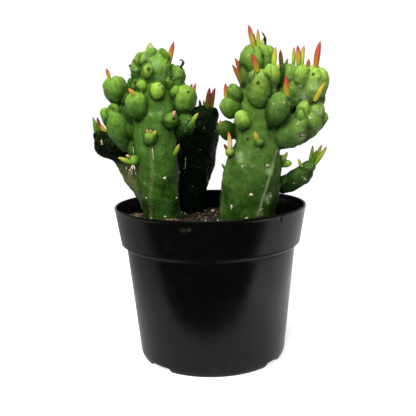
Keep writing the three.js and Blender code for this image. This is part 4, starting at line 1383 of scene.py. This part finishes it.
def pot_profile():
    """The pot's section from the middle of its underside, up the outside and down the inside."""
    ledge, neck = POT_HEIGHT - LEDGE_DROP, POT_HEIGHT - NECK_DROP
    foot, floor = FOOT_RADIUS - FOOT_WIDTH, FLOOR_HEIGHT + WALL

    def bend(radius, height, steps):
        return [(radius + out, height + up) for out, up in steps]

    underside = [(0.01, FLOOR_HEIGHT), (foot - 1, FLOOR_HEIGHT), (foot, 0.5), (foot + 0.5, 0)]
    corner = [
        (FOOT_RADIUS + (CORNER_RADIUS - FOOT_RADIUS) * math.sin(turn), CORNER_HEIGHT * (1 - math.cos(turn)))
        for turn in map(math.radians, range(0, 91, 9))
    ]
    low = bend(NECK_RADIUS, neck, NECK_BEND)
    high = bend(LEDGE_RADIUS, ledge, LEDGE_BEND)
    rim = bend(RIM_RADIUS, POT_HEIGHT, RIM_BEND)
    middle = (RIM_RADIUS - RIM_ROUND, POT_HEIGHT - RIM_ROUND)
    lip = [
        (middle[0] + RIM_ROUND * math.cos(turn), middle[1] + RIM_ROUND * math.sin(turn))
        for turn in np.linspace(0, math.pi, 9)
    ]
    inside = [
        (RIM_RADIUS - LIP, POT_HEIGHT - 1.2), (LEDGE_RADIUS - WALL, ledge + 1),
        (NECK_RADIUS - WALL, neck + 1), (CORNER_RADIUS - WALL, CORNER_HEIGHT + 1),
        (FOOT_RADIUS - WALL, floor + 2), (FOOT_RADIUS - WALL - 2, floor), (0.01, floor),
    ]
    wall = straight(corner[-1], low[0], SECTION_STEPS["wall"])
    band = straight(high[-1], rim[0], SECTION_STEPS["band"])
    back = straight(inside[0], inside[1], SECTION_STEPS["inside"])
    return [*underside, *corner, *wall, *low, *high, *band, *rim[1:], *lip, inside[0], *back, *inside[1:]]


def make_pot():
    points = turned(pot_profile(), POT_SIDES)
    lift = np.zeros(POT_SIDES)
    for notch, width in NOTCHES:
        half = math.degrees(width / 2 / FOOT_RADIUS)
        off = np.abs(turned_by(np.degrees(around(POT_SIDES)), notch))
        lift = np.maximum(lift, 1 - smoothstep(off, half - NOTCH_SLOPE, half + NOTCH_SLOPE))
    at_foot = np.hypot(points[..., 0], points[..., 1]) > FOOT_RADIUS - FOOT_WIDTH - 0.6
    raised = np.maximum(points[..., 2], NOTCH_HEIGHT * lift[None])
    points[..., 2] = np.where(at_foot & (points[..., 2] < NOTCH_HEIGHT), raised, points[..., 2])
    points, faces = close_rings(points, [0, 0, FLOOR_HEIGHT], [0, 0, FLOOR_HEIGHT + WALL])
    theta = np.degrees(np.arctan2(points[:, 0], -points[:, 1]))
    height, radius = points[:, 2], np.hypot(points[:, 0], points[:, 1])
    cleft = bell(theta - CLEFT[0], CLEFT[1]) * smoothstep(height, *CLEFT_FOOT) * (radius > NECK_RADIUS)
    pull, swing, count, turn = RIM_WAVES
    waves = pull + swing * np.sin(np.radians(count * theta + turn))
    inwards = smoothstep(height, RIM_WAVES_FROM, POT_HEIGHT) * waves + CLEFT[2] * cleft
    points[:, :2] *= (1 - inwards / np.maximum(radius, 1))[:, None]
    scuff = np.zeros(len(points))
    for degrees, level, wide, tall, strength in SCUFFS:
        off = ((theta - degrees) / wide) ** 2 + ((height - level) / tall) ** 2
        scuff = np.maximum(scuff, strength * np.exp(-off) * (radius > FOOT_RADIUS - 2.5))
    lip = LIP_WEAR * smoothstep(height, *WORN_LIP) * (radius > RIM_RADIUS - 2.2)
    # Painted shade under the ledge: its gloss is cut where the real ledge lies in shade
    start, full, fade, end = np.add(LEDGE_SHADE_SPAN, POT_HEIGHT - LEDGE_DROP)
    under = smoothstep(height, start, full) * (1 - smoothstep(height, fade, end)) * (radius > NECK_RADIUS)
    worn = np.maximum(lip, LEDGE_SHADE_AND_CLEFT_WEAR * np.maximum(under, cleft))
    place("pot_shell", (points, faces), "pot", "pot_plastic", moulded_plastic(), scuff=scuff, worn=worn)


# Soil
def soil_height(x, y):
    height = SOIL_LEVEL + SOIL_TILT[0] * x + SOIL_TILT[1] * y
    for mound_x, mound_y, rise, spread in SOIL_MOUNDS:
        height = height + rise * np.exp(-((x - mound_x) ** 2 + (y - mound_y) ** 2) / (2 * spread**2))
    coarse = np.sin(0.35 * x + 1) * np.cos(0.3 * y)
    return height + 0.8 * coarse + 0.5 * np.sin(0.8 * x - 0.6 * y)


def make_soil():
    """The soil's body with a crumbled top, and the loose bits that lie on it."""
    slope = (RIM_RADIUS - LIP - LEDGE_RADIUS + WALL) / LEDGE_DROP
    fitted = SOIL_LEVEL - (POT_HEIGHT - LEDGE_DROP) - SOIL_FITTED
    edge = LEDGE_RADIUS - WALL - SOIL_CLEAR[2] + slope * fitted
    profile = [(0.02, SOIL_FOOT), (FOOT_RADIUS - SOIL_CLEAR[0], SOIL_FOOT)]
    profile += [(CORNER_RADIUS - SOIL_CLEAR[1], SOIL_CORNER)]
    profile += [(NECK_RADIUS - SOIL_CLEAR[1], POT_HEIGHT - NECK_DROP)]
    profile += [(radius, SOIL_LEVEL) for radius in np.linspace(0.02, edge, SOIL_RINGS)[::-1]]
    points = turned(profile, SOIL_SIDES)
    top = points[..., 2] > SOIL_LEVEL - 1
    flat = points[top] * [1, 1, 0]
    crumbs = sum(size * field(flat, wavelength, seed) for wavelength, seed, size in CRUMBS)
    slump = SLUMP * smoothstep(np.hypot(flat[:, 0], flat[:, 1]), edge - SLUMP_WIDTH, edge)
    level = soil_height(flat[:, 0], flat[:, 1]) + crumbs - slump
    points[top] = flat + level[:, None] * [0, 0, 1]
    shell = close_rings(points, [0, 0, SOIL_FOOT], points[-1].mean(axis=0))
    place("soil_body", shell, "soil", "potting_soil", potting_mix())
    scatter_bits(edge - BITS_CLEAR)


def lump_shell(level, spot, sizes, rng):
    points, faces = lump(level, *BIT_LUMPS, rng)
    return spot + points * sizes @ basis(rng.normal(size=3)), faces


def bit_shell(kind, spot, rng):
    if kind == "clods":
        return lump_shell(2, spot, rng.uniform(*CLOD_SIZES) * CLOD_SHAPE, rng)
    if kind == "chips":
        sizes = [rng.uniform(*CHIP_LENGTHS), rng.uniform(*CHIP_WIDTHS), CHIP_THICKNESS]
        return lump_shell(1, spot, sizes, rng)
    if kind == "perlite":
        return lump_shell(2, spot, rng.uniform(*PERLITE_SIZES) * PERLITE_SHAPE, rng)
    way = unit(rng.normal(size=3) * [1, 1, 0.18]) * rng.uniform(*FIBRE_LENGTHS)
    bend = rng.normal(size=3) * [1.4, 1.4, 0.3]
    path = catmull([spot - way / 2, spot + bend + [0, 0, 0.6], spot + way / 2], FIBRE_RINGS)
    return tube(path, np.full(FIBRE_RINGS, rng.uniform(*FIBRE_RADII)), FIBRE_SIDES)


def scatter_bits(edge):
    rng = np.random.default_rng(77)
    heap, spread, heaped = FIBRE_HEAP
    for kind, (count, *finish) in LOOSE_BITS.items():
        shells = []
        for _ in range(count):
            reach = edge * math.sqrt(rng.random())
            turn = rng.uniform(0, math.tau)
            x, y = reach * math.cos(turn), reach * math.sin(turn)
            if kind == "fibres" and rng.random() < heaped:
                x, y = rng.normal(heap, spread)
            spot = np.array([x, y, soil_height(x, y) + rng.uniform(0.1, 0.6)])
            shells.append(bit_shell(kind, spot, rng))
        place("soil_" + kind, join(shells), "soil", "potting_soil", crumb(*finish))


# Floor and light
def make_floor():
    """White paper. In the pot's gloss it ends a little before the pot, and is brighter on the right."""
    near = FLOOR_FRONT / FLOOR_HALF
    points = np.array([(-1, near, 0), (1, near, 0), (1, 1, 0), (-1, 1, 0)]) * FLOOR_HALF
    floor = add_object("floor", mesh_of("floor", points, [[0, 1, 2, 3]]))
    paper = Material("paper", Roughness=0.9, Specular_IOR_Level=0.1, Emission_Color=WHITE)
    split = paper.node("SeparateXYZ", {0: paper.here}).outputs
    depth = paper.math("ADD", split["Y"], paper.times(split["X"], PAPER_SLANT))
    start, full = 0.5 - PAPER_EDGE - PAPER_SOFTNESS, 0.5 - PAPER_EDGE + PAPER_SOFTNESS
    sheet = paper.ramp(paper.math("ADD", depth, 0.5), (start, 0.0), (full, 1.0))
    tone = paper.ramp(paper.math("ADD", split["X"], 0.5), *PAPER_TONES)
    path = paper.node("LightPath").outputs
    mirrored = path["Is Glossy Ray"]
    white = paper.times(paper.math("SUBTRACT", 1.0, mirrored), PAPER_WHITE)
    lit = paper.times(mirrored, paper.times(paper.times(sheet, tone), PAPER_GAIN))
    glow = paper.math("ADD", lit, paper.times(path["Is Camera Ray"], PAPER_GLOW))
    floor.data.materials.append(paper.set(Base_Color=white, Emission_Strength=glow))


def make_light(name, start, aim, size, power, glossy):
    data = bpy.data.lights.new(name, "AREA")
    data.shape = "RECTANGLE"
    data.size, data.size_y = size[0] * MM, size[1] * MM
    data.energy = power
    light = add_object(name, data)
    start, aim = Vector(start) * MM, Vector(aim) * MM
    turn = (aim - start).to_track_quat("-Z", "Y").to_matrix().to_4x4()
    light.matrix_world = Matrix.Translation(start) @ turn
    light.visible_glossy = glossy


def make_world():
    """A white backdrop; the pot mirrors a room that is dark in front, and little light fills the shade."""
    world = bpy.data.worlds.new("studio")
    bpy.context.scene.world = world
    world.use_nodes = True
    world.node_tree.nodes.clear()
    room = Nodes(world.node_tree)

    def glow(strength):
        return room.node("Background", {"Color": WHITE, "Strength": strength}).outputs[0]

    def spread(*values):
        return room.node("MapRange", enumerate(values), interpolation_type="SMOOTHSTEP").outputs[0]

    def choose(*values):
        return room.node("MixShader", enumerate(values)).outputs[0]

    way = room.node("SeparateXYZ", {0: room.node("TexCoord").outputs["Generated"]}).outputs
    lean = room.math("MULTIPLY_ADD", way["X"], ROOM_LEAN, way["Y"])
    dim = glow(room.times(spread(lean, *ROOM_DEPTH), spread(way["Z"], *ROOM_HEIGHT)))
    path = room.node("LightPath").outputs
    shaded = choose(path["Is Diffuse Ray"], dim, glow(FILL))
    room.node("OutputWorld", {0: choose(path["Is Camera Ray"], shaded, glow(BACKDROP))})


make_camera()
make_floor()
make_world()
for light, settings in LIGHTS.items():
    make_light(light, *settings)
bpy.context.scene.view_settings.view_transform = "Standard"
bpy.context.scene.view_settings.look = "None"
make_pot()
make_soil()
grow_plant()
